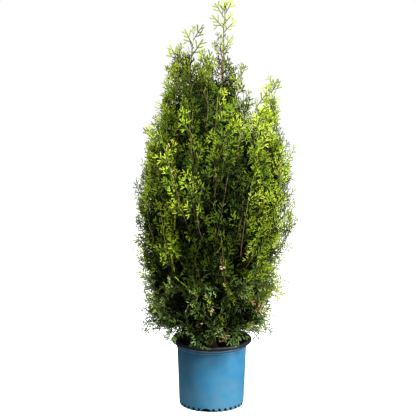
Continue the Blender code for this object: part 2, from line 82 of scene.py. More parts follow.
# %% [markdown]
# ## Tools of the bench
#
# Colours are picked as sRGB hex values, as in a paint program, and Blender wants them linear, so one
# function turns them. Another adds a node with its settings and links. Nodes could be laid out by
# hand in the editor, but a script can be read and run again, and these two keep it short.

# %% Colours, nodes and materials
def linear(hex_colour):
    """An sRGB hex colour as linear RGBA."""
    channels = [int(hex_colour[i : i + 2], 16) / 255 for i in (1, 3, 5)]
    return [c / 12.92 if c <= 0.04045 else ((c + 0.055) / 1.055) ** 2.4 for c in channels] + [1.0]


def node(tree, kind, settings=None, **links):
    """A new node of this kind. settings are its properties or unlinked inputs; links are inputs by
    name, each given the output that feeds it."""
    made = tree.nodes.new(kind)
    for name, value in (settings or {}).items():
        if name in made.inputs and not hasattr(made, name):
            made.inputs[name].default_value = value
        else:
            setattr(made, name, value)
    for name, source in links.items():
        tree.links.new(source, made.inputs[name.replace("_", " ")])
    return made


def new_material(name, colour, roughness, ior=1.5, specular=0.5):
    """A material with these plain values on its shader. Returns it, its tree and its shader."""
    made = bpy.data.materials.new(name)
    made.use_nodes = True
    shader = made.node_tree.nodes["Principled BSDF"]
    shader.inputs["Base Color"].default_value = linear(colour)
    shader.inputs["Roughness"].default_value = roughness
    shader.inputs["IOR"].default_value = ior
    shader.inputs["Specular IOR Level"].default_value = specular
    return made, made.node_tree, shader


def ramp(tree, factor, *stops):
    """A colour ramp from (place, hex colour) stops; returns its colour output."""
    made = node(tree, "ShaderNodeValToRGB", Fac=factor)
    while len(made.color_ramp.elements) < len(stops):
        made.color_ramp.elements.new(0.5)
    for element, (place, colour) in zip(made.color_ramp.elements, stops):
        element.position = place
        element.color = linear(colour)
    return made.outputs["Color"]


# %% [markdown]
# A mesh can be made point by point with bmesh, which is handy for a few hundred faces. The foliage
# has hundreds of thousands, so its arrays go into the mesh whole: all corners in one list, and for
# each face the place where its corners start and how many they are.

# %% Objects, and meshes from arrays
def add_object(name, data):
    """A new object of this mesh, light or camera, in the scene."""
    made = bpy.data.objects.new(name, data)
    bpy.context.scene.collection.objects.link(made)
    return made


def add_piece(name, points, faces, material, smooth=True):
    """A mesh object from an (n, 3) array of points and an (m, 3 or 4) array of faces."""
    points, faces = np.asarray(points, np.float32), np.asarray(faces, np.int32)
    mesh = bpy.data.meshes.new(name)
    mesh.vertices.add(len(points))
    mesh.vertices.foreach_set("co", points.ravel())
    corners = faces.shape[1]
    mesh.loops.add(faces.size)
    mesh.loops.foreach_set("vertex_index", faces.ravel())
    mesh.polygons.add(len(faces))
    mesh.polygons.foreach_set("loop_start", np.arange(0, faces.size, corners, dtype=np.int32))
    mesh.polygons.foreach_set("loop_total", np.full(len(faces), corners, np.int32))
    mesh.polygons.foreach_set("use_smooth", np.full(len(faces), smooth, bool))
    mesh.materials.append(material)
    mesh.update(calc_edges=True)
    return add_object(name, mesh)


# %% [markdown]
# ## The pot
#
# A trade 2 gallon nursery pot is blow-moulded from two layers of polyethylene: black inside, and a
# coloured skin outside that stops under the rolled lip. It could be one lathe shape with two
# materials, but two closed shells are truer, and the black then shows by itself in the lip, the
# inside and the cuts. The section is turned about the axis by a small lathe function.

# %% Sizes of the pot, as in the solids
FOOT_RADIUS = 0.097
WALL_TOP_RADIUS = 0.104
BAND_RADIUS = 0.1065  # the band under the lip stands out from the wall
LIP_RADIUS = 0.1205
POT_HEIGHT = 0.204
BAND_HEIGHT = 0.014
LIP_HEIGHT = 0.0125
STEP_HEIGHT = 0.0015  # of the slope between wall and band
WALL = 0.002
FLOOR = 0.003
SOIL_TOP = 0.174
SKIN = 0.0004  # thickness of the blue layer
LATHE_STEPS = 192
LIP_FOOT = POT_HEIGHT - LIP_HEIGHT
STEP = LIP_FOOT - BAND_HEIGHT
print("pot:", 2 * LIP_RADIUS, "m over its lip,", POT_HEIGHT, "m tall")


# %% A small lathe
def lathe(name, profile, material, closed_section):
    """A section of (radius, height) points turned about the axis. A closed section makes a ring; an
    open one starts and ends on the axis."""
    shape = bmesh.new()
    verts = [shape.verts.new((r, 0, z)) for r, z in profile]
    pairs = list(zip(verts, verts[1:]))
    if closed_section:
        pairs.append((verts[-1], verts[0]))
    edges = [shape.edges.new(pair) for pair in pairs]
    bmesh.ops.spin(
        shape, geom=verts + edges, cent=(0, 0, 0), axis=(0, 0, 1),
        angle=2 * math.pi, steps=LATHE_STEPS, use_merge=True,
    )
    bmesh.ops.remove_doubles(shape, verts=shape.verts, dist=1e-6)
    bmesh.ops.recalc_face_normals(shape, faces=shape.faces)
    mesh = bpy.data.meshes.new(name)
    shape.to_mesh(mesh)
    shape.free()
    mesh.materials.append(material)
    return add_object(name, mesh)


def wall_radius(z):
    """Outside of the tapered wall under the band."""
    return FOOT_RADIUS + (WALL_TOP_RADIUS - FOOT_RADIUS) * z / STEP


def rounded(centre, radius, start, end, steps):
    """Points of an arc in the section, from one angle to another in degrees."""
    angles = np.radians(np.linspace(start, end, steps))
    return [(centre[0] + radius * math.cos(a), centre[1] + radius * math.sin(a)) for a in angles]


# %% [markdown]
# The plastic is high-density polyethylene straight from the mould: a soft satin, IOR about 1.54.
# Its surface isn't quite even, so a large faint noise moves the tint and the roughness a little, and
# a fine bump gives the grain of the mould.

# %% Polyethylene, blue and black
def polyethylene(name, dark, light, roughness):
    """Moulded polyethylene, between a dark and a light tint."""
    made, tree, shader = new_material(name, light, roughness, ior=1.54)
    place = node(tree, "ShaderNodeTexCoord").outputs["Object"]
    # blotches of about 60 mm
    blotch = node(tree, "ShaderNodeTexNoise", {"Scale": 16.0, "Detail": 3.0}, Vector=place).outputs["Fac"]
    tree.links.new(ramp(tree, blotch, (0.3, dark), (0.7, light)), shader.inputs["Base Color"])
    between = {"To Min": roughness - 0.05, "To Max": roughness + 0.07}
    rough = node(tree, "ShaderNodeMapRange", between, Value=blotch).outputs["Result"]
    tree.links.new(rough, shader.inputs["Roughness"])
    # mould grain, 0.8 mm on the real pot and drawn at 2.5 mm so that it shows
    grain = node(tree, "ShaderNodeTexNoise", {"Scale": 400.0, "Detail": 2.0}, Vector=place).outputs["Fac"]
    bump = node(tree, "ShaderNodeBump", {"Strength": 0.12, "Distance": 0.0004}, Height=grain)
    tree.links.new(bump.outputs["Normal"], shader.inputs["Normal"])
    return made


blue_polyethylene = polyethylene("blue_polyethylene", "#146f9b", "#207ca6", 0.45)
black_polyethylene = polyethylene("black_polyethylene", "#0c0c0c", "#161616", 0.55)
print("plastics:", blue_polyethylene.name, "and", black_polyethylene.name)

# %% [markdown]
# The blue skin has been handled and watered: a pale film lies on it in patches, thicker towards the foot,
# partly dried lime and partly a painted sheen, and the two beads of the band are pale, partly rubbed and
# partly a painted highlight on their edges. Both are mixed into the base colour by height and a broken noise.

# %% Film with painted sheen, and rubbed beads with painted highlight, on the blue skin
BEADS = (STEP + STEP_HEIGHT, STEP + 0.0095)
BAND_FOOT, BAND_TOP = STEP - 0.004, LIP_FOOT + 0.002  # the zone of the rubbed and painted-highlight beads runs a little past the band
BEAD_FADE = 0.08  # of that zone, which is 1.6 mm to each side of a bead
# the pale film: dried lime and painted sheen
LIME_FILM_AND_SHEEN = "#577e90"
# the beads: rubbed plastic and painted highlight
RUBBED_AND_HIGHLIT_PLASTIC = "#a9bcc2"
tree = blue_polyethylene.node_tree
shader = tree.nodes["Principled BSDF"]
clean = shader.inputs["Base Color"].links[0].from_socket
place = node(tree, "ShaderNodeTexCoord").outputs["Object"]
height = node(tree, "ShaderNodeSeparateXYZ", Vector=place).outputs["Z"]
# the film, dried lime and painted sheen: patches of about 40 mm, denser in the lowest 150 mm
fading = {"From Max": 0.15, "To Min": 0.95, "To Max": 0.45}
low = node(tree, "ShaderNodeMapRange", fading, Value=height).outputs["Result"]
patches = {"Scale": 26.0, "Detail": 6.0, "Roughness": 0.65}
patch = node(tree, "ShaderNodeTexNoise", patches, Vector=place).outputs["Fac"]
share = {"From Min": 0.30, "From Max": 0.70}
film_and_sheen = node(tree, "ShaderNodeMapRange", share, Value=patch, To_Max=low).outputs["Result"]
film_colour = {"Color2": linear(LIME_FILM_AND_SHEEN)}
filmed_and_sheened = node(tree, "ShaderNodeMixRGB", film_colour, Fac=film_and_sheen, Color1=clean).outputs["Color"]
# the beads: two pale lines by height, rubbed and painted highlight, broken every 20 mm or so
zone = {"From Min": BAND_FOOT, "From Max": BAND_TOP}
span = node(tree, "ShaderNodeMapRange", zone, Value=height).outputs["Result"]
stops = [(0.0, "#000000")]
for bead in BEADS:
    middle = (bead - BAND_FOOT) / (BAND_TOP - BAND_FOOT)
    stops += [(middle - BEAD_FADE, "#000000"), (middle, "#ffffff"), (middle + BEAD_FADE, "#000000")]
line = ramp(tree, span, *stops)
broken = node(tree, "ShaderNodeTexNoise", {"Scale": 45.0, "Detail": 3.0}, Vector=place).outputs["Fac"]
share = {"From Min": 0.27, "From Max": 0.50}
rubbed_and_highlit = node(tree, "ShaderNodeMapRange", share, Value=broken, To_Max=line).outputs["Result"]
pale = {"Color2": linear(RUBBED_AND_HIGHLIT_PLASTIC)}
worn_and_highlit = node(tree, "ShaderNodeMixRGB", pale, Fac=rubbed_and_highlit, Color1=filmed_and_sheened).outputs["Color"]
tree.links.new(worn_and_highlit, shader.inputs["Base Color"])
print("beads at", BEADS)

# %% [markdown]
# The skin runs from the foot over the step up to the lip. The black shell has the same section, a
# skin's thickness further in, and carries the rolled lip, which is a tube of about 12 mm in reality.

# %% Turn the two shells
EDGE = 0.0004  # the smallest flats of the section
ROUND = 0.0006  # rounding at the step and under the lip
BEVEL = 0.0012  # rounding under the foot
BEAD = 0.0009  # how far the bead stands out
STAND = 0.0002  # the black foot over the ground
APART = 0.00005  # air between the two shells

skin_outside = [(FOOT_RADIUS - BEVEL, EDGE), (FOOT_RADIUS - EDGE, BEVEL), (wall_radius(FLOOR), FLOOR)]
skin_outside += [(wall_radius(z), z) for z in np.linspace(0.02, STEP - ROUND, 8)]
skin_outside += [(WALL_TOP_RADIUS + ROUND, STEP), (BAND_RADIUS - EDGE, STEP + STEP_HEIGHT)]
skin_outside += [(BAND_RADIUS, STEP + STEP_HEIGHT + 2 * EDGE)]
half_turn = np.linspace(0, math.pi, 7)
skin_outside += [(BAND_RADIUS + BEAD * math.sin(a), BEADS[1] - BEAD * math.cos(a)) for a in half_turn]
skin_outside += [(BAND_RADIUS, LIP_FOOT + ROUND)]
skin_inside = [(r - SKIN, z) for r, z in reversed(skin_outside)]
pot_skin = lathe("pot_skin", skin_outside + skin_inside, blue_polyethylene, True)

shell = [(0, STAND), (FOOT_RADIUS - 0.0022, STAND)]
shell += [(r - SKIN - APART, max(z, 3 * STAND)) for r, z in skin_outside]
lip_middle = (LIP_RADIUS - LIP_HEIGHT / 2, POT_HEIGHT - LIP_HEIGHT / 2)
shell += [(BAND_RADIUS + 0.0015, LIP_FOOT + EDGE)] + rounded(lip_middle, LIP_HEIGHT / 2, -80, 118, 14)
shell += [(BAND_RADIUS - WALL + 0.001, POT_HEIGHT - 0.004), (BAND_RADIUS - WALL, LIP_FOOT - WALL)]
shell += [(BAND_RADIUS - WALL, STEP + STEP_HEIGHT), (WALL_TOP_RADIUS - WALL, STEP - 0.0005)]
shell += [(wall_radius(FLOOR) - WALL, FLOOR), (0, FLOOR)]
pot_shell = lathe("pot_shell", shell, black_polyethylene, False)
print("section:", len(skin_outside), "points in the skin,", len(shell), "in the shell")

# %% [markdown]
# Four arched drains and rows of small slots go through the foot. They could be modelled into the
# shells' faces, but it is easier to cut them: one Boolean per shell, with a collection of arch-headed
# blocks, is applied at once, and the blocks are removed. On the real pot the drains are 9 mm high and
# the slots 7 mm. Both are drawn at 12 mm, because from the camera's height the foot is a thin line.

# %% Blocks for the drains and slots
DRAINS = 4
DRAIN_TURN = math.radians(-100)
DRAIN_SIZE = (0.026, 0.0120, 0.0048)  # width, height, depth from the foot's edge
SLOTS_BETWEEN_DRAINS = 7
SLOT_SIZE = (0.0085, 0.0120, 0.0045)
BLOCK_MARGIN = 0.004  # how far a block starts below the foot
SHARP_EDGE = math.radians(40)


def arch_block(turn, size):
    """A block with a rounded head that reaches in through the wall at this turn."""
    width, height, depth = size
    turns = np.linspace(0, math.pi, 9)
    head = [(width / 2 * math.cos(a), 0.5 * height + 0.5 * height * math.sin(a)) for a in turns]
    section = [(-width / 2, -BLOCK_MARGIN), (width / 2, -BLOCK_MARGIN)] + head
    shape = bmesh.new()
    ring = [shape.verts.new((FOOT_RADIUS - depth, across, z)) for across, z in section]
    grown = bmesh.ops.extrude_face_region(shape, geom=[shape.faces.new(ring)])
    moved = [v for v in grown["geom"] if isinstance(v, bmesh.types.BMVert)]
    bmesh.ops.translate(shape, verts=moved, vec=(depth + 0.01, 0, 0))
    bmesh.ops.recalc_face_normals(shape, faces=shape.faces)
    mesh = bpy.data.meshes.new("arch")
    shape.to_mesh(mesh)
    shape.free()
    made = bpy.data.objects.new("arch", mesh)
    made.rotation_euler.z = turn
    return made


# %% Cut the foot
def cut_openings(shells):
    """Cut every drain and slot out of the shells."""
    blocks = bpy.data.collections.new("foot_blocks")
    bpy.context.scene.collection.children.link(blocks)
    quarter = 2 * math.pi / DRAINS
    clear = DRAIN_SIZE[0] / FOOT_RADIUS
    pitch = (quarter - clear) / SLOTS_BETWEEN_DRAINS
    for drain in range(DRAINS):
        turn = DRAIN_TURN + drain * quarter
        blocks.objects.link(arch_block(turn, DRAIN_SIZE))
        for slot in range(SLOTS_BETWEEN_DRAINS):
            blocks.objects.link(arch_block(turn + clear / 2 + (slot + 0.5) * pitch, SLOT_SIZE))
    for thing in shells:
        cut = thing.modifiers.new("foot", "BOOLEAN")
        cut.operation = "DIFFERENCE"
        cut.operand_type = "COLLECTION"
        cut.collection = blocks
        bpy.context.view_layer.update()
        thing_cut = thing.evaluated_get(bpy.context.evaluated_depsgraph_get())
        thing.data = bpy.data.meshes.new_from_object(thing_cut)
        thing.modifiers.clear()
        thing.data.shade_smooth()
        thing.data.set_sharp_from_angle(angle=SHARP_EDGE)
    for block in list(blocks.objects):
        bpy.data.objects.remove(block)
    bpy.data.collections.remove(blocks)


cut_openings([pot_skin, pot_shell])
for piece in (pot_skin, pot_shell):
    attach(piece, "root")
    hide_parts("pot")

# %% [markdown]
# ## The potting mix
#
# Nursery mix is composted bark and peat: dark, lumpy, with chips of a few millimetres. A height map of a few
# waves would look too even, so the surface takes a sum of waves with random headings, and real chips lie on
# it, as low blocks turned at random. Moist compost is matt and nearly black, and the chips, which dry first,
# are paler, so that single ones stand out. Both are painted darker still, as painted shade under the crown.

# %% Bark-and-peat mix
def ripple_of(seed, count, finest, coarsest):
    """A bumpy function of x and y, about -1 to 1, with waves between two lengths in metres."""
    rng = np.random.default_rng(seed)
    lengths = np.exp(rng.uniform(math.log(finest), math.log(coarsest), count))
    turns = rng.uniform(0, 2 * math.pi, count)
    starts = rng.uniform(0, 2 * math.pi, count)

    def height(x, y):
        waves = [
            math.sin(2 * math.pi * (x * math.cos(a) + y * math.sin(a)) / w + s) * (w / coarsest) ** 0.5
            for w, a, s in zip(lengths, turns, starts)
        ]
        return sum(waves) / (0.35 * count)

    return height


mix_material, tree, shader = new_material("composted_bark_mix", "#2a1f17", 0.95, specular=0.2)
place = node(tree, "ShaderNodeTexCoord").outputs["Object"]
# crumbs of 4 mm
crumbs = node(tree, "ShaderNodeTexNoise", {"Scale": 260.0, "Detail": 6.0}, Vector=place).outputs["Fac"]
# dark tones of moist compost, darkened further as painted shade under the crown
mix_tones = ramp(tree, crumbs, (0.30, "#0a0705"), (0.52, "#1d140e"), (0.75, "#37281c"))
tree.links.new(mix_tones, shader.inputs["Base Color"])
bump = node(tree, "ShaderNodeBump", {"Strength": 0.8, "Distance": 0.0015}, Height=crumbs)
tree.links.new(bump.outputs["Normal"], shader.inputs["Normal"])

# %% The mix's surface
MIX_RINGS = 46
MIX_STEPS = 120
MIX_GAP = 0.0004  # to the pot's wall and floor
mix_edge = wall_radius(SOIL_TOP) - WALL - MIX_GAP
lumps = ripple_of(5, 40, 0.006, 0.045)


def mix_height(x, y):
    """The top of the mix, with lumps of up to 3 mm."""
    return SOIL_TOP - 0.001 + 0.0028 * lumps(x, y)


turns = [2 * math.pi * step / MIX_STEPS for step in range(MIX_STEPS)]
points = [(0, 0, SOIL_TOP + 0.002 * lumps(0, 0))]  # under the trunk
for ring in range(1, MIX_RINGS + 1):
    r = mix_edge * ring / MIX_RINGS
    for turn in turns:
        x, y = r * math.cos(turn), r * math.sin(turn)
        points.append((x, y, mix_height(x, y)))
foot_r = wall_radius(FLOOR) - WALL - MIX_GAP
points += [(foot_r * math.cos(turn), foot_r * math.sin(turn), FLOOR + MIX_GAP) for turn in turns]
points.append((0, 0, FLOOR + MIX_GAP))
last = len(points) - 1
faces = []
for step in range(MIX_STEPS):
    following = (step + 1) % MIX_STEPS
    faces.append((0, 1 + step, 1 + following))
    faces.append((last, last - MIX_STEPS + following, last - MIX_STEPS + step))
    for ring in range(MIX_RINGS):
        a, b = 1 + ring * MIX_STEPS + step, 1 + ring * MIX_STEPS + following
        faces += [(a, a + MIX_STEPS, b + MIX_STEPS), (a, b + MIX_STEPS, b)]
mix = add_piece("mix_surface", points, faces, mix_material)
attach(mix, "root")
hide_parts("potting_mix")
print("mix surface:", len(points), "points")

# %% Chips that lie on the mix
chip_material, tree, shader = new_material("pine_bark_chips", "#5a3d28", 0.9, specular=0.25)
place = node(tree, "ShaderNodeTexCoord").outputs["Object"]
# the tone changes every 11 mm, about the length of a chip
tone = node(tree, "ShaderNodeTexNoise", {"Scale": 90.0, "Detail": 3.0}, Vector=place).outputs["Fac"]
# the chips' tones are also darkened as painted shade under the crown
chip_tones = ramp(tree, tone, (0.35, "#1f140d"), (0.6, "#42301f"), (0.8, "#6c5238"))
tree.links.new(chip_tones, shader.inputs["Base Color"])

CHIPS = 340
CHIP_TILT = 0.4  # metres of rise in a metre along the chip
rng = random.Random(3)
points, faces = [], []
box_corners = [(x, y, z) for x in (-1, 1) for y in (-1, 1) for z in (-1, 1)]
box_faces = [(0, 2, 3, 1), (4, 5, 7, 6), (0, 1, 5, 4), (2, 6, 7, 3), (0, 4, 6, 2), (1, 3, 7, 5)]
for _ in range(CHIPS):
    r, turn = (mix_edge - 0.006) * math.sqrt(rng.uniform(0.03, 1)), rng.uniform(0, 2 * math.pi)
    x, y = r * math.cos(turn), r * math.sin(turn)
    # half its length, width and thickness, how it tilts and how it is turned
    half = (rng.uniform(0.002, 0.006), rng.uniform(0.001, 0.0028), rng.uniform(0.0006, 0.0014))
    tilt = Vector((rng.uniform(-CHIP_TILT, CHIP_TILT), rng.uniform(-CHIP_TILT, CHIP_TILT)))
    turn = rng.uniform(0, math.pi)
    base = len(points)
    for corner in box_corners:
        cx, cy = corner[0] * half[0] * rng.uniform(0.75, 1), corner[1] * half[1] * rng.uniform(0.75, 1)
        px = x + cx * math.cos(turn) - cy * math.sin(turn)
        py = y + cx * math.sin(turn) + cy * math.cos(turn)
        lift = corner[2] * half[2] + tilt.x * cx + tilt.y * cy
        points.append((px, py, mix_height(x, y) + 0.0008 + lift))
    faces += [tuple(base + i for i in face) for face in box_faces]
chips = add_piece("mix_chips", points, faces, chip_material, smooth=False)
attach(chips, "root")
print("chips:", CHIPS)

# %% [markdown]
# ## The stems
#
# The trunk and the six limbs are tapering tubes, worked out from the same few sizes as the solids.
# Arborvitae bark is thin, red-brown and comes off in long strips, so the tube's skin is pushed in
# and out by waves that run many times round the stem and slowly along it. That is real relief,
# which also shows at the edges; the colour noise is stretched the same way.

# %% Sizes of the trunk and the limbs, as in the solids
GAP = 0.0003  # between a solid and what carries it
TRUNK_FOOT = SOIL_TOP + GAP
TRUNK_TIP = 1.10
TRUNK_LEAN = 0.034
TRUNK_FOOT_RADIUS = 0.0095
TRUNK_TIP_RADIUS = 0.0016
FLARE_RADIUS = 0.0085
FLARE_HEIGHT = 0.014
SHOULDER = 0.70
LIMB_FOOT_RADIUS = 0.0052
LIMB_TIP_RADIUS = 0.0022
LIMB_END = SHOULDER + 0.006
# name, azimuth from +X, foot on the trunk, spread of the tip, height of its spire
LIMBS = (
    ("right", 0, 0.300, 0.165, 0.990),
    ("back_right", 60, 0.255, 0.130, 0.960),
    ("back_left", 122, 0.320, 0.150, 1.060),
    ("left", 180, 0.275, 0.126, 1.020),
    ("front_left", 240, 0.235, 0.110, 1.130),
    ("front_right", 303, 0.340, 0.150, 1.030),
)
print("limbs:", len(LIMBS))

# %% Their paths
UP, RIGHT, FRONT = Vector((0, 0, 1)), Vector((1, 0, 0)), Vector((0, -1, 0))


def smooth(x, low, high):
    """0 below low, 1 above high, and an even S between them."""
    t = min(1.0, max(0.0, (x - low) / (high - low)))
    return t * t * (3 - 2 * t)


def heading(degrees):
    """The level direction at this azimuth."""
    return Vector((math.cos(math.radians(degrees)), math.sin(math.radians(degrees)), 0))


def curve(start, bend, end):
    """A quadratic curve as a function of its share from 0 to 1."""
    return lambda t: (1 - t) ** 2 * start + 2 * t * (1 - t) * bend + t * t * end


def tangent(path, t):
    """The direction of a path at this share of it."""
    return (path(min(1.0, t + 0.01)) - path(max(0.0, t - 0.01))).normalized()


def tapered(foot, tip):
    """A radius that falls evenly from foot to tip."""
    return lambda t: foot + (tip - foot) * t


def trunk_axis(z):
    """The trunk's middle at this height: it leans to the right in its upper half."""
    return Vector((TRUNK_LEAN * smooth(z, 0.60, 1.05), 0.004 * math.sin(9 * z), z))


def trunk_radius(z):
    """A taper that ends in the root flare."""
    rise = (z - TRUNK_FOOT) / (TRUNK_TIP - TRUNK_FOOT)
    taper = TRUNK_FOOT_RADIUS + (TRUNK_TIP_RADIUS - TRUNK_FOOT_RADIUS) * rise**0.8
    return taper + FLARE_RADIUS * math.exp(-(z - TRUNK_FOOT) / FLARE_HEIGHT)


def on_trunk(z, direction):
    """The point on the trunk's side at this height, towards this direction."""
    return trunk_axis(z) + direction * (trunk_radius(z - 0.01) + GAP)


def limb_path(limb):
    """A limb leaves the trunk outwards and soon turns up."""
    _, azimuth, foot, spread, _ = limb
    out = heading(azimuth)
    end = out * spread + UP * LIMB_END
    bend = out * (0.95 * spread) + UP * (foot + 0.38 * (LIMB_END - foot))
    return curve(on_trunk(foot, out), bend, end)


# %% [markdown]
# A stem could be a curve with a bevel, but its skin would then be smooth all round. A mesh tube made
# ring by ring can swell by a function, so one function serves the trunk and the limbs with their
# strips, and without a swell the finest twigs too.

# %% A tube, and strips of bark
def tube(path, radius, sides, rings, relief=None):
    """(points, triangles) of a closed tube of radius(t) round path(t). relief(turn, t) swells it."""
    points = []
    across = tangent(path, 0).cross(UP)
    across = (across if across.length > 0.05 else Vector((1, 0, 0))).normalized()
    for ring in range(rings):
        t = ring / (rings - 1)
        along = tangent(path, t)
        across = (across - along * across.dot(along)).normalized()
        other = along.cross(across)
        centre, size = path(t), radius(t)
        for side in range(sides):
            turn = 2 * math.pi * side / sides
            swell = size * (1 + relief(turn, t)) if relief else size
            points.append(tuple(centre + swell * (math.cos(turn) * across + math.sin(turn) * other)))
    points += [tuple(path(0)), tuple(path(1))]
    foot, tip = len(points) - 2, len(points) - 1
    side = np.arange(sides)
    after = (side + 1) % sides
    last = (rings - 1) * sides
    faces = [np.stack([np.full(sides, foot), after, side], 1)]
    faces.append(np.stack([np.full(sides, tip), last + side, last + after], 1))
    for ring in range(rings - 1):
        a, b = ring * sides + side, ring * sides + after
        faces += [np.stack([a, b, b + sides], 1), np.stack([a, b + sides, a + sides], 1)]
    return np.array(points), np.concatenate(faces)


def strips_of(seed, length):
    """Relief of long bark strips on a stem of this length: a function of turn and share along it."""
    rng = np.random.default_rng(seed)
    rounds = rng.integers(3, 9, 7)
    rates = rng.uniform(-1, 1, 7) * 2 * math.pi * length / 0.12  # strips wander over about 120 mm
    starts = rng.uniform(0, 2 * math.pi, 7)

    def relief(turn, t):
        waves = sum(math.sin(k * turn + f * t + s) for k, f, s in zip(rounds, rates, starts))
        return 0.028 * waves

    return relief


def join(parts):
    """One (points, faces) from several."""
    points = np.concatenate([p for p, _ in parts])
    offsets = np.cumsum([0] + [len(p) for p, _ in parts[:-1]])
    faces = np.concatenate([f + offset for (_, f), offset in zip(parts, offsets)])
    return points, faces


# %% Fibrous bark on the trunk and the limbs
bark, tree, shader = new_material("fibrous_red_bark", "#6b4032", 0.8, specular=0.2)
place = node(tree, "ShaderNodeTexCoord").outputs["Object"]
# strips 1.5 mm wide and 22 mm long
strip_scale = {"Scale": (650.0, 650.0, 45.0)}
stretched = node(tree, "ShaderNodeMapping", strip_scale, Vector=place).outputs["Vector"]
fibres = node(tree, "ShaderNodeTexNoise", {"Scale": 1.0, "Detail": 5.0}, Vector=stretched).outputs["Fac"]
bark_tones = ramp(tree, fibres, (0.3, "#38211a"), (0.5, "#65402f"), (0.72, "#92685a"))
tree.links.new(bark_tones, shader.inputs["Base Color"])
bump = node(tree, "ShaderNodeBump", {"Strength": 0.7, "Distance": 0.0006}, Height=fibres)
tree.links.new(bump.outputs["Normal"], shader.inputs["Normal"])

height = TRUNK_TIP - TRUNK_FOOT
trunk_mesh = tube(
    lambda t: trunk_axis(TRUNK_FOOT + height * t**1.4),
    lambda t: trunk_radius(TRUNK_FOOT + height * t**1.4),
    28, 170, strips_of(1, height),
)
trunk = add_piece("trunk_bark", *trunk_mesh, bark)
limb_meshes = [
    tube(limb_path(limb), tapered(LIMB_FOOT_RADIUS, LIMB_TIP_RADIUS), 16, 90, strips_of(10 + i, 0.6))
    for i, limb in enumerate(LIMBS)
]
limbs = add_piece("limb_bark", *join(limb_meshes), bark)
for piece, nodes in ((trunk, ["trunk"]), (limbs, [f"limb_{limb[0]}" for limb in LIMBS])):
    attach(piece, "root")
    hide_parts(*nodes)
print("trunk and limbs:", len(trunk_mesh[1]) + sum(len(f) for _, f in limb_meshes), "triangles")

# %% [markdown]
# ## One spray
#
# A spray is a small fan in one plane: a rib with side branchlets by turns left and right, which fork
# again into fingers of 10 to 15 mm. The scales lie so close that they read as one flat, blunt thread,
# so each thread is four triangles folded along its middle, 3.0 mm wide where the real one has about
# 2.5 mm. The shoots' tops have 4.8 mm, because a single thinner thread against the sky is lost in
# the render. The patterns are drawn in a plane first, in three lengths and with other random draws,
# and every spray on the plant is one of these, turned and bent, so that its fingers keep their real
# size. The threads at the tips are kept apart from the ribs, because they are younger and lighter.
# Four coarser patterns stand for the sprays deep inside, which only close the view.

# %% Draw sprays in a plane
THREAD_WIDTH = 0.0030
THREAD_STEP = 0.0095  # from one fork of the rib to the next
SPRAY_REACHES = (0.032, 0.044, 0.058)
AIRY_WIDTH = 0.0048  # on the shoots' tops
AIRY_STEP = 0.0145  # wider there, where growth was fast
AIRY_REACH = 0.055
INNER_WIDTH = 0.0070
INNER_STEP = 0.018
INNER_REACH = 0.075
KINDS_EACH = 8
INNER_KINDS = 4
FORK_ANGLES = (0.65, 0.90)  # radians between a rib and its side branchlets
SECOND_SIDE = 0.35  # how often a fork has a branchlet on both sides


def branchlet(rng, start, turn, length, order, pace):
    """Threads (start, turn, length, whether young) of a branchlet and of all that forks from it."""
    found = []
    steps = max(1, round(length / pace))
    at = np.array(start, float)
    side = rng.choice((-1, 1))
    for step in range(steps):
        stretch = length / steps
        young = order == 2 or step == steps - 1
        found.append((at.copy(), turn, stretch * (1.30 if young else 1.1), young))
        at = at + stretch * np.array([math.cos(turn), math.sin(turn)])
        side = -side
        ahead = 1 - (step + 1) / steps
        if order == 0 and step < steps - 1:
            fork = length * (0.20 + 0.36 * ahead) * rng.uniform(0.8, 1.2)
            found += branchlet(rng, at, turn + side * rng.uniform(*FORK_ANGLES), fork, 1, pace)
            if rng.random() < SECOND_SIDE:
                found += branchlet(rng, at, turn - side * rng.uniform(*FORK_ANGLES), pace, 1, pace)
        elif order == 1 and step < steps - 1:
            finger = pace * rng.uniform(0.8, 1.3)
            found += branchlet(rng, at, turn + side * rng.uniform(*FORK_ANGLES), finger, 2, pace)
        turn += rng.uniform(-0.09, 0.09)
    return found


# %% [markdown]
# Each thread gets its faces here. They meet on a raised middle line, so that a thread has a light and
# a dark side, as the keeled scales have. The fan is cupped and bent back, because a flat one would
# vanish when it is seen on edge.

# %% Threads as faces
def spray_kind(seed, reach, pace, wide):
    """(points, faces, whether each face is young) of one spray that runs along +X in the XY plane."""
    rng = np.random.default_rng(seed)
    points, faces, young_faces = [], [], []
    for start, turn, length, young in branchlet(rng, (0, 0), 0.0, reach, 0, pace):
        along = np.array([math.cos(turn), math.sin(turn), 0.0])
        across = np.array([-along[1], along[0], 0.0])
        half = wide / 2 * (rng.uniform(0.9, 1.15) if young else 0.75)
        foot = np.array([start[0], start[1], 0.0])
        fold = np.array([0.0, 0.0, -0.40 * half])
        a = len(points)
        points += [foot, foot + along * length]
        for side in (-half, half):
            points += [foot + along * length * 0.10 + across * side * 0.8 + fold]
            points += [foot + along * length * 0.88 + across * side * 0.9 + fold]
        faces += [(a, a + 2, a + 3), (a, a + 3, a + 1), (a, a + 5, a + 4), (a, a + 1, a + 5)]
        young_faces += [young] * 4
    points = np.array(points)
    # cupped along its sides and bent back towards its tip
    points[:, 2] += 2.5 * points[:, 0] * np.abs(points[:, 1]) - 2.5 * points[:, 0] ** 2
    return points, np.array(faces), np.array(young_faces)


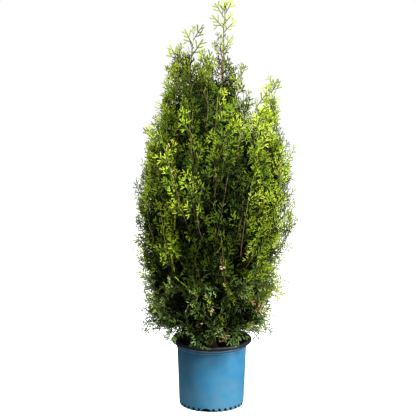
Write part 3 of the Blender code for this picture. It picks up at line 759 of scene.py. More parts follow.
# %% Every pattern that the plant uses
# first seed, how many, reach, step and width of the threads
PATTERNS = (
    (100, KINDS_EACH, SPRAY_REACHES[0], THREAD_STEP, THREAD_WIDTH),
    (200, KINDS_EACH, SPRAY_REACHES[1], THREAD_STEP, THREAD_WIDTH),
    (300, KINDS_EACH, SPRAY_REACHES[2], THREAD_STEP, THREAD_WIDTH),
    (700, KINDS_EACH, AIRY_REACH, AIRY_STEP, AIRY_WIDTH),
    (900, INNER_KINDS, INNER_REACH, INNER_STEP, INNER_WIDTH),
)
spray_kinds = [spray_kind(seed + i, *sizes) for seed, count, *sizes in PATTERNS for i in range(count)]
print("threads per spray:", [len(points) // 6 for points, _, _ in spray_kinds])

# %% [markdown]
# ## Where foliage may grow
#
# The crown is one body up to its shoulder and separate spires above. How far it reaches at each
# height and azimuth is the same function as in the solids, and so are the tiers between the limbs,
# which rise steeply outwards. The real crown is a little slimmer low down and on one side, so every
# test below asks how far out a point lies as a share of that reach.

# %% The crown's reach
PLANT_TOP = 1.20
CROWN_FOOT = 0.207
CROWN_WIDE = 0.52
CROWN_TOP = 1.10
CROWN_RADIUS = 0.278
SIDE_SWELL = 0.055
TIER_FLOORS = (
    ((0.207, 0.00), (0.236, 0.45), (0.290, 0.90), (0.365, 1.15), (0.450, 1.15)),
    ((0.207, 0.00), (0.255, 0.65), (0.330, 1.05), (0.420, 1.15)),
)
STEM_STOP = 0.04
LEADER_FLOORS = (SHOULDER, 0.83, 0.96, 1.09)


def crown_reach(z, azimuth):
    """How far foliage reaches from the axis at this height and azimuth in radians."""
    if z > CROWN_WIDE:
        rise = min(1.0, (z - CROWN_WIDE) / (CROWN_TOP - CROWN_WIDE))
        reach = CROWN_RADIUS * (1 - rise**2.2) ** 0.83
    else:
        drop = (CROWN_WIDE - z) / (CROWN_WIDE - CROWN_FOOT)
        reach = CROWN_RADIUS * (1 - 0.40 * drop**3)
    swell = SIDE_SWELL * math.cos(azimuth) * (2 * smooth(z, 0.25, 0.65) - 1)
    ripple = 0.035 * math.sin(5 * azimuth + 17 * z) + 0.025 * math.sin(9 * azimuth - 31 * z)
    return reach * (1 + swell + ripple)


def crown_limit(z):
    """How much of that reach the foliage fills: less in the lower crown."""
    return 0.80 + 0.13 * smooth(z, 0.37, 0.57)


print("reach to the right at 0.3, 0.5 and 0.7 m:", [round(crown_reach(z, 0), 3) for z in (0.3, 0.5, 0.7)])

# %% How far out a point lies, and what it must clear
LEFT_SLIM, RIGHT_SLIM = 0.08, 0.15  # above the middle on the left, below it on the right
PROUD = 0.012  # how far the dressed plant may stand out of the solids' box
LOWEST_TIP = 0.19


def outerness(point):
    """How far out a point lies, as a share of the crown's reach there, which is slimmer at the sides."""
    low_band = smooth(point.z, 0.36, 0.42) * (1 - smooth(point.z, 0.47, 0.56))
    slim = 1 + LEFT_SLIM * smooth(-point.x, 0.10, 0.20) * smooth(point.z, 0.45, 0.60)
    slim += RIGHT_SLIM * smooth(point.x, 0.08, 0.18) * low_band
    reach = crown_reach(point.z, math.atan2(point.y, point.x))
    return slim * math.hypot(point.x, point.y) / max(0.01, reach)


def in_box(point):
    """Inside the solids' box or a few millimetres proud of it, and above the lip."""
    inside = all(low - PROUD < v < high + PROUD for v, low, high in zip(point, *solid_box))
    return inside and point.z > LOWEST_TIP


def crown_floor(point):
    """Foliage stays above the mix and clear of the lip."""
    off = math.hypot(point.x, point.y)
    return 0.198 + 0.047 * smooth(off, 0.05, 0.11) * (1 - smooth(off, 0.135, 0.175))


def over_floor(point):
    """The loosest test, for arms and shoots that may leave the crown's outline."""
    return in_box(point) and point.z > crown_floor(point)


# %% [markdown]
# With a smooth outline the plant would look clipped like a hedge. The real one bulges and sinks from
# frond to frond, dark hollows lie between the fronds, and sky shows between the upright shoots. These
# could be carved out of the finished foliage, but it is simpler never to grow there: each is a test
# that a spray's tip has to pass. A noise in space gives the bulges and the hollows.

# %% Ragged edge, hollows and gaps
RAGGED = 0.13  # of the reach, for bulges about 50 mm apart
RAGGED_SCALE = 20
HOLLOW_SCALE = 24
HOLLOW_BELOW = -0.14  # of a noise between -1 and 1; the lower, the fewer hollows
HOLLOW_FROM = 0.74  # share of the crown's limit where its shell starts
SURFACE_LIMIT = 1.03
# sky between the upright shoots, from the front: x, lowest z, half the width
GAPS = ((0.118, 0.885, 0.022), (0.205, 0.80, 0.012), (-0.168, 0.87, 0.028), (-0.124, 1.03, 0.018))
GAP_SHARE = 0.8  # of the sprays in a gap are left out
rng = random.Random(12)


def in_crown(point):
    """Inside the ragged outline."""
    limit = crown_limit(point.z) + RAGGED * noise.noise(point * RAGGED_SCALE + Vector((9, 0, 0)))
    return outerness(point) < limit and point.z > crown_floor(point)


def deep(point):
    """Far enough inside the crown that the outline hides it."""
    share = 0.80 - 0.08 * smooth(point.z, 0.34, 0.50)
    return outerness(point) < share * crown_limit(point.z) and point.z > crown_floor(point)


def on_surface(point):
    """Not further out than the long shoots in the crown's surface may stand."""
    return over_floor(point) and outerness(point) < SURFACE_LIMIT * crown_limit(point.z)


def in_gap(point):
    """Whether a point is left out for the sky between the shoots."""
    return any(point.z > z and abs(point.x - x) < wide for x, z, wide in GAPS) and rng.random() < GAP_SHARE


def hollow(point, out):
    """Whether a point lies in one of the dark hollows of the shell, which are wider low down."""
    level = HOLLOW_BELOW + 0.10 * (1 - smooth(point.z, 0.30, 0.50))
    return out > HOLLOW_FROM and noise.noise(point * HOLLOW_SCALE) < level


# %% The upright shoots' own crowns
LEAST_REACH = 0.032  # even a shoot's top has sprays this long


def in_spire(axis, foot, top, reach):
    """A test of whether a point is inside a plume round axis(z), from foot to top. It tapers slowly
    at first and then to a point."""

    def test(point):
        rise = min(1.0, max(0.0, (point.z - foot) / (top - foot)))
        centre = axis(point.z)
        off = math.hypot(point.x - centre.x, point.y - centre.y)
        return point.z < top and off < max(LEAST_REACH, reach * (1 - 0.88 * rise**1.25))

    return test


# %% [markdown]
# ## Growing the plant
#
# Foliage could be scattered over a hull with a particle system, but then nothing would carry it.
# Here it grows. Each mass has a stem, twigs leave the stem by turns to either side, leaning forwards
# and up, and each twig bears sprays by turns, with one at its end. That is the rule of the solids,
# with more stems and twigs and many sprays on each. A spray that would pass the outline is tried
# smaller, and then left out.
#
# A spray's tone is a number: inner sprays are dark with painted shade, outer and upper ones light with
# painted light, and whole twigs have their own mood. Patches of fresh growth and painted light are lighter,
# and patches of painted shade are darker.

# %% Patches of fresh growth and painted light, and of painted shade
# in the front: x, z, radius, how much lighter, from fresh growth and painted light, and below zero darker
# from painted shade
FRESH_LIGHT_AND_SHADE = (
    (-0.25, 0.55, 0.05, 2.2),
    (-0.13, 0.86, 0.08, 2.2),
    (-0.125, 0.73, 0.045, 1.1),
    (-0.115, 0.62, 0.04, 1.6),
    (-0.11, 0.52, 0.035, 2.4),
    (-0.20, 0.48, 0.11, -1.0),
    (-0.19, 0.34, 0.10, 1.0),
    (-0.01, 0.78, 0.05, 2.0),
    (-0.06, 0.39, 0.05, 1.6),
    (0.15, 0.86, 0.11, 2.1),
    (0.205, 0.62, 0.095, 3.4),
    (0.19, 0.42, 0.12, 3.0),
    (0.03, 1.12, 0.10, 0.6),
    (-0.01, 0.96, 0.06, -2.6),
    (-0.05, 1.06, 0.04, -0.6),
    (0.02, 0.55, 0.04, 2.0),
    (0.04, 0.40, 0.14, -0.6),
    (0.02, 0.60, 0.11, -2.0),
    (0.03, 0.76, 0.09, -2.1),
    (-0.03, 0.86, 0.06, -1.0),
)


def fresh_light_and_shade(point):
    """How much lighter fresh growth and painted light make a spray here, and how much darker painted shade;
    the front's patches are mirrored to the back.
    """
    x = point.x if point.y < 0 else -point.x
    return sum(lift * math.exp(-((x - px) ** 2 + (point.z - pz) ** 2) / r**2) for px, pz, r, lift in FRESH_LIGHT_AND_SHADE)


print("patches:", len(FRESH_LIGHT_AND_SHADE))

# %% The tone of a spray
# Tones paint light and shade: inner sprays are darkest, sprays deep in the crown and low down get painted
# shade, and those at the surface, higher up, at a shoot's outside and at the sides of the outline get painted
# light.
INNER_SHADE_TONE = -1
DEEP_SHADE_TONE = 0.6  # deep in the crown, under painted shade
SHELL_LIGHT, HIGH_LIGHT = 3.8, 1.3  # painted light, more at the surface, and more again in the crown's upper part
SHELL_FALL = 8  # how fast the painted shade deepens inwards
LOW_SHADE = 1.0
PLUME_LIGHT, PLUME_RADIUS = 4.7, 0.070  # painted light at the outside of an upright shoot
TOP_LIGHT = 1.8
MOST_TONE, MOST_TONE_HIGH = 5.4, 2.0  # no lighter than this, and how much more high up
RIM_TONE = 4.4  # painted light at the two sides of the outline, for light shining through


def tone_of(tip, out, mood, axis, airy, base):
    """How light a spray is painted, from its tip and how far out that is: painted shade deep in the crown and
    low down, painted light at its surface and higher up. Round an axis of its own, which an upright shoot
    has, it is painted light all over, and at the sides of the outline painted light shines through. A base
    light can be given in place of this."""
    light = (SHELL_LIGHT + HIGH_LIGHT * smooth(tip.z, 0.22, 0.45)) * out**SHELL_FALL
    light -= LOW_SHADE * (1 - smooth(tip.z, 0.20, 0.50))
    if axis:
        centre = axis(tip.z)
        off = min(1.0, math.hypot(tip.x - centre.x, tip.y - centre.y) / PLUME_RADIUS)
        own = max(off, 0.4) ** 1.2 if airy else off**1.2 * out**2
        light += smooth(tip.z, 0.70, 0.90) * (PLUME_LIGHT * own - light)
        light += TOP_LIGHT * smooth(tip.z, 0.74, 1.12)
    light = light if base is None else base
    most = MOST_TONE + MOST_TONE_HIGH * smooth(tip.z, 0.60, 1.00)
    sideways = abs(tip.x) / max(0.01, math.hypot(tip.x, tip.y))
    rim = smooth(out, 0.88, 1.0) * smooth(sideways, 0.88, 0.97) * smooth(tip.z, 0.22, 0.40)
    return max(min(DEEP_SHADE_TONE + light + fresh_light_and_shade(tip) * out + mood, most), RIM_TONE * rim)


# %% Placing one spray
SHRINKS = (1.0, 0.8, 0.62)  # the sizes that are tried
AIRY_GROUP = len(SPRAY_REACHES)
twig_meshes = {"old": [], "young": []}
placed_sprays = []  # root, direction, across, length, reach of its pattern, pattern, tone


def jitter(amount):
    """A small random offset."""
    return Vector([rng.uniform(-amount, amount) for _ in range(3)])


def spray(root, direction, face, length, mood, inside, inner=False, axis=None, airy=False, base=None):
    """Place one spray, or a smaller one, where its tip stays inside. face is where its flat side looks, and
    mood lightens it. An inner one takes a coarse pattern and the darkest tone, as painted shade, an airy one
    the wide pattern of the shoots' tops. tone_of tells of axis and base."""
    direction = direction.normalized()
    across = direction.cross(face).normalized()
    for shrink in SHRINKS:
        tip = root + direction * length * shrink
        if not inside(tip) or not in_box(tip) or in_gap(tip):
            continue
        if inner:
            kind, reach = len(spray_kinds) - 1 - rng.randrange(INNER_KINDS), INNER_REACH
            tone = INNER_SHADE_TONE
        else:
            nearest = min(range(AIRY_GROUP), key=lambda group: abs(SPRAY_REACHES[group] - length * shrink))
            group = AIRY_GROUP if airy else nearest
            kind, reach = group * KINDS_EACH + rng.randrange(KINDS_EACH), (*SPRAY_REACHES, AIRY_REACH)[group]
            out = min(1.0, outerness(tip) / crown_limit(tip.z))
            if hollow(tip, out) and not airy and base is None:
                return
            tone = tone_of(tip, out, mood, axis, airy, base)
        placed_sprays.append((root, direction, across, length * shrink, reach, kind, tone))
        return


# %% [markdown]
# One function grows every mass on the plant: it only needs the stem's path and a test of where
# foliage may be. The sprays of a twig face one way, so that together they read as a flat frond, as
# they do on a real arborvitae. Turned at random one by one they would read as moss.

# %% Twigs and sprays of one mass
BUD_STEP = 0.0160  # along a twig, from one spray to the next
SPRAY_LENGTH = 0.056
TWIG_SHARES = (1.0, 0.7, 0.45, 0.2)  # a twig that leaves the outline is tried shorter
YOUNG_FROM = 0.6  # twigs that end further out than this are of the last year
TWIG_RADII = (0.0011, 0.0006)
TWIG_MOOD, SPRAY_MOOD, AIRY_MOOD = 0.7, 1.15, 0.5  # how much the tone wanders
NEVER = 9.0  # a height that nothing reaches


def outward_from(axis, point):
    """The level direction from an upright axis to a point."""
    off = Vector((point.x - axis.x, point.y - axis.y, 0))
    return off.normalized() if off.length > 0.004 else heading(rng.uniform(0, 360))


def grow(path, foot, twigs, size, inside, droop=0.0, axis=None, length=(0.130, 0.075), airy=NEVER):
    """Twigs and sprays of one mass along its stem, from share foot of the stem on. The sprays stand
    by turns on both sides of their twig, and make one frond with it. Above the height airy they
    stand singly on the stem itself."""
    for twig in range(twigs):
        t = foot + (0.98 - foot) * (twig + rng.uniform(0, 0.8)) / twigs
        along = tangent(path, t)
        side = along.cross(UP)
        side = (side if side.length > 0.2 else heading(rng.uniform(0, 360))).normalized()
        turn = rng.uniform(-0.9, 0.9) + (math.pi if twig % 2 else 0)
        outward = (math.cos(turn) * side + math.sin(turn) * side.cross(along)).normalized()
        if path(t).z > airy:
            look = (outward.cross(UP) + jitter(0.5)).normalized()
            ahead = 0.8 * along + 0.55 * outward + 0.25 * UP
            longest = rng.uniform(0.042, 0.060)
            spray(path(t), ahead, look, longest, rng.gauss(0, AIRY_MOOD), inside, axis=axis, airy=True)
            continue
        lift = 0.45 * smooth(path(t).z, 0.28, 0.60)
        away = outward_from(axis(path(t).z) if axis else Vector(), path(t))
        rise = rng.uniform(0, 0.4) + 0.5 * lift - droop
        direction = (0.62 * along + 0.62 * outward + 0.35 * away + rise * UP).normalized()
        reach = size * (length[0] + (length[1] - length[0]) * t) * rng.uniform(0.8, 1.2)
        start = path(t)
        for shorter in TWIG_SHARES:
            end = start + direction * reach * shorter
            if inside(end + 0.5 * SPRAY_REACHES[0] * direction):
                break
        else:
            continue
        line = curve(start, (start + end) / 2 - 0.08 * reach * UP, end)
        age = "young" if outerness(end) > YOUNG_FROM else "old"
        twig_meshes[age].append(tube(line, tapered(*TWIG_RADII), 4, 5))
        mood = rng.gauss(0, TWIG_MOOD)
        centre = axis(end.z) if axis else Vector()
        look = outward_from(centre, end)
        spin = rng.uniform(-1.0, 1.0)  # how far the frond turns from facing outward
        face = math.cos(spin) * look + math.sin(spin) * look.cross(UP) + 0.3 * UP + jitter(0.4)
        face.normalize()
        buds = max(2, round((end - start).length / BUD_STEP))
        for bud in range(buds + 1):
            share = 0.12 + 0.88 * bud / buds
            root, ahead = line(share), tangent(line, share)
            lean = (1 if bud % 2 else -1) * rng.uniform(0.6, 1.0) if bud < buds else 0
            ahead = ahead + lean * ahead.cross(face).normalized()
            ahead = ahead + (0.15 + lift - 1.2 * droop) * UP + jitter(0.15)
            longest = SPRAY_LENGTH * size * (1.12 - 0.35 * share) * rng.uniform(0.75, 1.15)
            turned = (face + jitter(0.5)).normalized()
            spray(root, ahead, turned, longest, mood + rng.gauss(0, SPRAY_MOOD), inside, axis=axis)


# %% Inner sprays, and the stem of a tier
def fill(path, low, high, count, inside):
    """Inner sprays, dark with painted shade, between two shares of a stem, where inside says."""
    for index in range(count):
        root = path(low + (high - low) * (index + rng.random()) / count)
        ahead = (heading(rng.uniform(0, 360)) + rng.uniform(-0.2, 1.2) * UP).normalized()
        spray(root, ahead, jitter(1.0).normalized(), rng.uniform(0.05, 0.075), 0, inside, inner=True)


def stem_path(foot, floor, roof, azimuth):
    """A tier's stem rises outwards from the trunk, halfway between its floor and its roof."""
    out = heading(azimuth)
    slope = 0.5 * (floor[1] + roof[1])
    longest = 0.60 * crown_reach(foot + 0.08, math.radians(azimuth))
    spread = min(longest, (SHOULDER - STEM_STOP - foot) / slope)
    start = on_trunk(foot, out)
    end = out * spread + UP * (foot + slope * spread)
    return curve(start, 0.5 * (start + end) - UP * 0.006, end)


# %% [markdown]
# ### Tiers between the limbs
#
# Between each two limbs the solids have four or five steep masses, one above the other. Each grows here from
# five stems side by side instead of one, because a single stem would leave the crown open between the masses,
# and the two lowest get three more. Inner sprays, dark with painted shade, close the view.

# %% The tiers between the limbs
# the stems of one mass: turn from its middle, share of its height
STEMS = ((-24, 0.35), (-12, 0.75), (0, 0.40), (12, 0.80), (24, 0.45))
LOW_STEMS = ((-18, 1.10), (4, 1.20), (19, 1.10))  # more, where the masses part
mass_nodes = []
for index, limb in enumerate(LIMBS):
    low, high = limb[1], LIMBS[(index + 1) % len(LIMBS)][1]
    high = high if high > low else high + 360
    floors = TIER_FLOORS[index % 2] + ((SHOULDER, 1.4),)
    for tier, floor in enumerate(floors[:-1]):
        roof = floors[tier + 1]
        for lean, share in STEMS + (LOW_STEMS if tier < 2 else ()):
            foot = floor[0] + share * (roof[0] - floor[0])
            path = stem_path(foot, floor, roof, (low + high) / 2 + lean)
            twig_meshes["old"].append(tube(path, tapered(0.0024, 0.0010), 6, 10))
            droop = max(0.0, 0.40 - 0.35 * share) if tier == 0 else 0
            grow(path, 0.35, 5, 1.0, in_crown, droop=droop)
            fill(path, 0.1, 1.0, 12, deep)
        mass_nodes.append(f"tier_{index + 1}_{tier + 1}")
print("sprays in the tiers:", len(placed_sprays))

# %% [markdown]
# ### Upright shoots
#
# Above the shoulder the plant is a bundle of plumes: the limbs go on as slim leaders, each with a few
# lower shoots round it. All are one shape in other sizes, so one function grows them. The topmost
# part of a plume is this year's growth, where single sprays stand far apart on the stem.

# %% A plume
AIRY_TOP = 0.12  # how much of each shoot has single sprays
SHOOT_RADIUS, SHOOT_TIP_RADIUS = 0.0013, 0.0007


def plume(start, top, twigs, reach, thick):
    """One upright shoot, a little crooked, with its own narrow crown of sprays."""
    end = Vector((start.x, start.y, top - 0.035))
    bow = heading(rng.uniform(0, 360)) * 0.008
    rate = rng.uniform(5, 8)

    def path(t):
        return start + (end - start) * t + bow * math.sin(rate * t)

    twig_meshes["old"].append(tube(lambda t: path(0.62 * t), tapered(thick, 0.0011), 6, 12))
    young = tapered(0.0011, SHOOT_TIP_RADIUS)
    twig_meshes["young"].append(tube(lambda t: path(0.60 + 0.40 * t), young, 5, 8))
    inside = in_spire(lambda z: start, start.z - 0.03, top, reach)
    grow(path, 0.0, twigs, 0.9, inside, axis=lambda z: start, length=(0.100, 0.030), airy=top - AIRY_TOP)
    look = FRONT + jitter(0.4)
    spray(path(1), UP + jitter(0.2), look, 0.036, 1.0, inside, axis=lambda z: start, airy=True)
    dark = in_spire(lambda z: start, start.z - 0.03, top - 0.03, 0.65 * reach)
    fill(path, 0.0, 0.6, 12, lambda point: dark(point) and (point.z > 0.80 or deep(point)))


# %% Plumes on the limbs and round the shoulder
# shoots round each limb's tip: turn from the limb's own azimuth, distance, how much lower
SHOOTS = ((0, 0.0, 0.0), (80, 0.048, 0.07), (-80, 0.048, 0.11), (180, 0.050, 0.12))
# short shoots that close the ring at the shoulder: turn from a limb, distance from the axis, top
SHOULDER_SHOOTS = ((17, 0.175, 0.80), (34, 0.185, 0.83), (52, 0.170, 0.79))
for limb in LIMBS:
    _, azimuth, _, spread, top = limb
    below = limb_path(limb)
    for turn, off, lower in SHOOTS:
        start = below(1) if not off else below(0.90) + heading(azimuth + turn) * off
        thick = SHOOT_RADIUS if off else LIMB_TIP_RADIUS
        plume(start, top - lower, round((top - lower - SHOULDER) / 0.014), 0.078, thick)
    grow(lambda t: below(0.45 + 0.55 * t), 0.0, 14, 1.0, in_crown)
    fill(below, 0.3, 1.0, 26, deep)
    mass_nodes.append(f"spire_{limb[0]}")

for _, azimuth, *_ in LIMBS:
    for turn, out, top in SHOULDER_SHOOTS:
        plume(heading(azimuth + turn) * out + UP * 0.60, top, 14, PLUME_RADIUS, SHOOT_RADIUS)
print("sprays with the limbs' plumes:", len(placed_sprays))

# %% The masses round the trunk's top
AIRY_ABOVE = 1.05
for index in range(len(LEADER_FLOORS) - 1):
    out = heading(30 + 120 * index)
    floor, roof = LEADER_FLOORS[index : index + 2]
    start = on_trunk(floor + 0.015, out)
    path = curve(start, start + out * 0.022 + UP * 0.03, trunk_axis(roof - 0.035) + out * 0.030)
    twig_meshes["young"].append(tube(path, tapered(0.0018, 0.0009), 5, 8))
    inside = in_spire(trunk_axis, SHOULDER, PLANT_TOP, 0.078)
    grow(path, 0.1, 7, 0.8, inside, axis=trunk_axis, airy=AIRY_ABOVE)

    def stretch(t):
        return trunk_axis(floor + (roof - floor) * t)

    grow(stretch, 0.0, 9, 0.8, inside, axis=trunk_axis, airy=AIRY_ABOVE)
    if roof < CROWN_TOP - 0.1:
        fill(stretch, 0.0, 1.0, 26, in_spire(trunk_axis, SHOULDER, PLANT_TOP, 0.060))
    mass_nodes.append(f"leader_side_{index + 1}")

# %% Lesser leaders and the topmost tip
# close to the trunk's top: x, y, top
LESSER = (
    (-0.030, -0.02, 1.05), (-0.090, -0.03, 1.085), (0.055, 0.01, 0.99),
    (-0.030, 0.05, 1.02), (-0.075, 0.04, 0.97), (0.030, 0.06, 0.94), (-0.005, 0.03, 1.03), (0.0, -0.02, 0.97),
)
# sprays of the tip: turn from upright, share of the leader, length, and whether a second one
# crosses it, so that the tip is full from the side too
TIP_SPRAYS = (
    (4, 1.0, 0.034, True), (30, 0.9, 0.048, False), (-34, 0.75, 0.048, True),
    (40, 0.5, 0.048, False), (-42, 0.3, 0.048, True), (35, 0.1, 0.048, False),
)
for x, y, top in LESSER:
    plume(Vector((x, y, SHOULDER)), top, round((top - SHOULDER) / 0.013), PLUME_RADIUS, 0.0016)
foot = trunk_axis(TRUNK_TIP)
leader = curve(foot, foot + UP * 0.03, foot + Vector((0.004, 0, 0.065)))
twig_meshes["young"].append(tube(leader, tapered(TRUNK_TIP_RADIUS, 0.0008), 5, 6))
inside = in_spire(trunk_axis, SHOULDER, PLANT_TOP + 0.01, 0.085)
for turn, share, length, crossed in TIP_SPRAYS:
    for away, face in ((RIGHT, -FRONT), (FRONT, RIGHT))[: 2 if crossed else 1]:
        ahead = math.sin(math.radians(turn)) * away + math.cos(math.radians(turn)) * UP + jitter(0.1)
        spray(leader(share), ahead, face + jitter(0.2), length, -0.3, inside, axis=trunk_axis, airy=True)
mass_nodes.append("leader_tip")
print("sprays with the trunk's top:", len(placed_sprays))

# %% [markdown]
# ### Fronds in the crown's surface
#
# What the eye sees of the crown is not an even fur. Long shoots lie in its surface, bare at the foot,
# with their sprays spread flat to both sides like a feather, and they overlap. They are laid over the
# crown by the golden angle, which never lines up in rows, and end short of the outline, so that the
# edge stays soft. Ten more in the front follow the ones that show on the real plant.

# %% One long shoot with its frond
SHOOT_STEP = 0.016  # from one spray to the next


def frond_shoot(foot, middle, tip, light, inside=over_floor):
    """A shoot that lies in the crown's surface with its sprays spread flat to both sides."""
    path = curve(foot, 2 * middle - (foot + tip) / 2, tip)
    twig_meshes["old"].append(tube(lambda t: path(0.6 * t), tapered(0.0013, 0.0010), 6, 12))
    young = tapered(0.0010, SHOOT_TIP_RADIUS)
    twig_meshes["young"].append(tube(lambda t: path(0.58 + 0.42 * t), young, 5, 8))
    steps = round((tip - foot).length * 0.85 / SHOOT_STEP)
    for step in range(steps + 1):
        share = 0.15 + 0.85 * step / steps
        along = tangent(path, share)
        outward = outward_from(Vector(), path(share))
        lean = (1 if step % 2 else -1) * rng.uniform(0.6, 1.0) if step < steps else 0
        look = (outward + 0.2 * UP + jitter(0.8)).normalized()
        ahead = along + lean * along.cross(look).normalized() + 0.15 * UP + jitter(0.15)
        spray(path(share), ahead, look, rng.uniform(0.038, 0.054), rng.gauss(0, 1.2), inside, base=light)


def at_surface(azimuth, z, share):
    """A point of the crown at this azimuth in degrees and this share of its reach."""
    reach = share * crown_limit(z) * crown_reach(z, math.radians(azimuth))
    return heading(azimuth) * reach + UP * z


# %% Shoots all over the crown
SHOOT_COUNT = 84
GOLDEN_ANGLE = 137.508
LOWEST_FOOT, FEET_RANGE = 0.255, 0.50
DEPTHS = ((0, 0.72), (0.5, 0.83), (1, 0.87))  # share along the shoot, share of the crown's reach
for index in range(SHOOT_COUNT):
    azimuth = GOLDEN_ANGLE * index
    z = LOWEST_FOOT + FEET_RANGE * (index + 0.5) / SHOOT_COUNT
    turn = rng.uniform(-18, 18)
    rise = rng.uniform(0.12, 0.17) * (0.35 + 0.65 * smooth(z, 0.25, 0.42))
    foot, middle, tip = (at_surface(azimuth + turn * t, z + rise * t, share) for t, share in DEPTHS)
    # lighter higher up and darker low down: painted light and shade
    light = 1.8 + 0.9 * smooth(z, 0.45, 0.80) - 0.2 * (1 - smooth(z, 0.22, 0.45)) + rng.gauss(0, 0.9)
    frond_shoot(foot, middle, tip, light, on_surface)
print("sprays with the long shoots:", len(placed_sprays))

# %% Shoots in the front
# shoots whose bare feet show: x and z of foot, middle and tip, and how light each is
FRONT_SHOOTS = (
    ((-0.050, 0.665), (-0.058, 0.80), (-0.068, 0.92), 2.6),
    ((0.006, 0.735), (0.010, 0.84), (0.016, 0.93), 3.2),
    ((0.023, 0.685), (0.033, 0.76), (0.048, 0.86), 3.6),
    ((-0.070, 0.575), (-0.100, 0.68), (-0.150, 0.84), 4.6),
    ((0.120, 0.700), (0.128, 0.79), (0.135, 0.87), 3.4),
    ((0.148, 0.745), (0.160, 0.84), (0.165, 0.93), 3.8),
    ((-0.026, 0.540), (-0.040, 0.61), (-0.022, 0.70), 2.4),
    ((0.080, 0.480), (0.092, 0.60), (0.115, 0.71), 2.4),
    ((-0.105, 0.420), (-0.125, 0.50), (-0.140, 0.60), 4.2),
    ((0.020, 0.400), (0.030, 0.48), (0.022, 0.57), 2.8),
)
FRONT_DEPTHS = (0.78, 0.89, 0.93)


def on_front(x, z, share, azimuth, least):
    """The point of the crown in front of this x and z, least metres squared from the middle."""
    reach = share * crown_limit(z) * crown_reach(z, azimuth)
    return Vector((x, -math.sqrt(max(least, reach**2 - x**2)), z))


for *line, light in FRONT_SHOOTS:
    points = [on_front(x, z, share, -math.pi / 2, 0.0004) for share, (x, z) in zip(FRONT_DEPTHS, line)]
    frond_shoot(*points, light)
print("twigs:", sum(len(m) for m in twig_meshes.values()))

# %% [markdown]
# ### The crown's foot
#
# The lowest branches have no light above them, so they reach out and droop: over the lip, and a few of their
# sprays hang in front of it. Round the foot some sprays have died in the shade and stay on their bare twigs,
# dry and tan. Both are listed one by one, because a rule would spread them evenly.

# %% Low arms that droop over the lip
# where each arm ends: x, y, z
ARMS = (
    (0.172, -0.07, 0.365), (0.128, -0.10, 0.345), (0.128, -0.07, 0.300), (0.108, -0.10, 0.265),
    (0.105, -0.06, 0.255), (0.022, -0.120, 0.265), (-0.020, -0.125, 0.265), (-0.065, -0.11, 0.270),
    (-0.155, -0.05, 0.345), (-0.150, -0.05, 0.290), (-0.115, -0.08, 0.270), (0.05, 0.12, 0.250),
    (-0.06, 0.12, 0.255), (0.12, 0.07, 0.270), (-0.12, 0.07, 0.265),
    (-0.168, -0.02, 0.262), (-0.178, -0.04, 0.320), (-0.150, -0.04, 0.245), (0.126, -0.05, 0.245),
)
# the front's hanging sprays: x and z of each tip
OVERHANG = (
    (-0.060, 0.218), (-0.045, 0.212), (-0.034, 0.206), (-0.022, 0.204), (-0.010, 0.206), (0.004, 0.216),
    (0.024, 0.198), (0.030, 0.206), (0.055, 0.224), (0.075, 0.228), (-0.075, 0.232),
    (0.042, 0.212), (0.064, 0.216), (0.088, 0.230), (0.100, 0.238), (-0.088, 0.234), (0.016, 0.208),
    (-0.118, 0.226), (-0.105, 0.217), (-0.128, 0.236), (-0.095, 0.224), (0.112, 0.234), (-0.078, 0.220),
)
HANG_FROM, HANG_TO = -0.098, -0.140  # y over the lip, and in front of it
for end in map(Vector, ARMS):
    away = Vector((end.x, end.y, 0)).normalized()
    start = on_trunk(end.z - 0.01, away)
    path = curve(start, 0.5 * (start + end) + 0.03 * UP, end)
    twig_meshes["old"].append(tube(path, tapered(0.0022, 0.0010), 6, 10))
    grow(path, 0.45, 6, 0.85, over_floor, droop=0.35, length=(0.09, 0.05))
    for turn in (-30, 0, 30):
        ahead = away * math.cos(math.radians(turn)) + away.cross(UP) * math.sin(math.radians(turn))
        ahead = ahead - 0.45 * UP
        spray(path(1 - 0.002 * abs(turn)), ahead, UP + jitter(0.6), 0.042, rng.gauss(0, 1), over_floor)
for x, z in OVERHANG:
    root = Vector((0.7 * x, HANG_FROM, z + 0.052))
    hang = Vector((x, HANG_TO, z)) - root
    spray(root, hang, FRONT + 0.5 * UP + jitter(0.4), hang.length, -0.6, in_box)
print("arms:", len(ARMS), "hanging sprays:", len(OVERHANG))

# %% Dead sprays
# in the front as the camera sees them: x and z of the tip, length
DEAD_AT = (
    (0.212, 0.347, 0.036), (0.200, 0.331, 0.028), (0.122, 0.343, 0.026), (0.150, 0.331, 0.030),
    (0.143, 0.310, 0.030), (0.168, 0.285, 0.030), (0.120, 0.266, 0.028), (0.128, 0.250, 0.038),
    (0.134, 0.230, 0.034), (0.146, 0.231, 0.038), (0.046, 0.240, 0.034), (0.030, 0.226, 0.020),
    (-0.013, 0.246, 0.020), (-0.031, 0.290, 0.016), (0.028, 0.462, 0.022), (0.000, 0.330, 0.020),
)
dead_sprays = []
for x, z, length in DEAD_AT:
    tip = on_front(x, z, 1.02, -math.pi / 3, 0.003)
    away = Vector((tip.x, tip.y, 0)).normalized()
    ahead = (away - 0.5 * UP + jitter(0.3)).normalized()
    across = ahead.cross(FRONT + 0.5 * UP + jitter(0.3)).normalized()
    root = tip - length * ahead
    dead_sprays.append((root, ahead, across, length, SPRAY_REACHES[0], rng.randrange(KINDS_EACH), 0))
    bare = curve(root - 0.07 * away + 0.012 * UP, root - 0.03 * away + 0.010 * UP, root)
    twig_meshes["old"].append(tube(bare, tapered(0.0010, 0.0007), 5, 6))
print("twigs:", sum(len(m) for m in twig_meshes.values()), "sprays:", len(placed_sprays))

# %% [markdown]
# ## Young and old twigs
#
# This year's twigs are yellow-green and smooth, with a faint gloss. Older ones have shed their scale
# leaves and are red-brown like the limbs. A twig is 2 mm thick, so relief would be lost: the bark is
# only a tone that drifts along it every 20 mm or so. All twigs of an age are joined into one object.

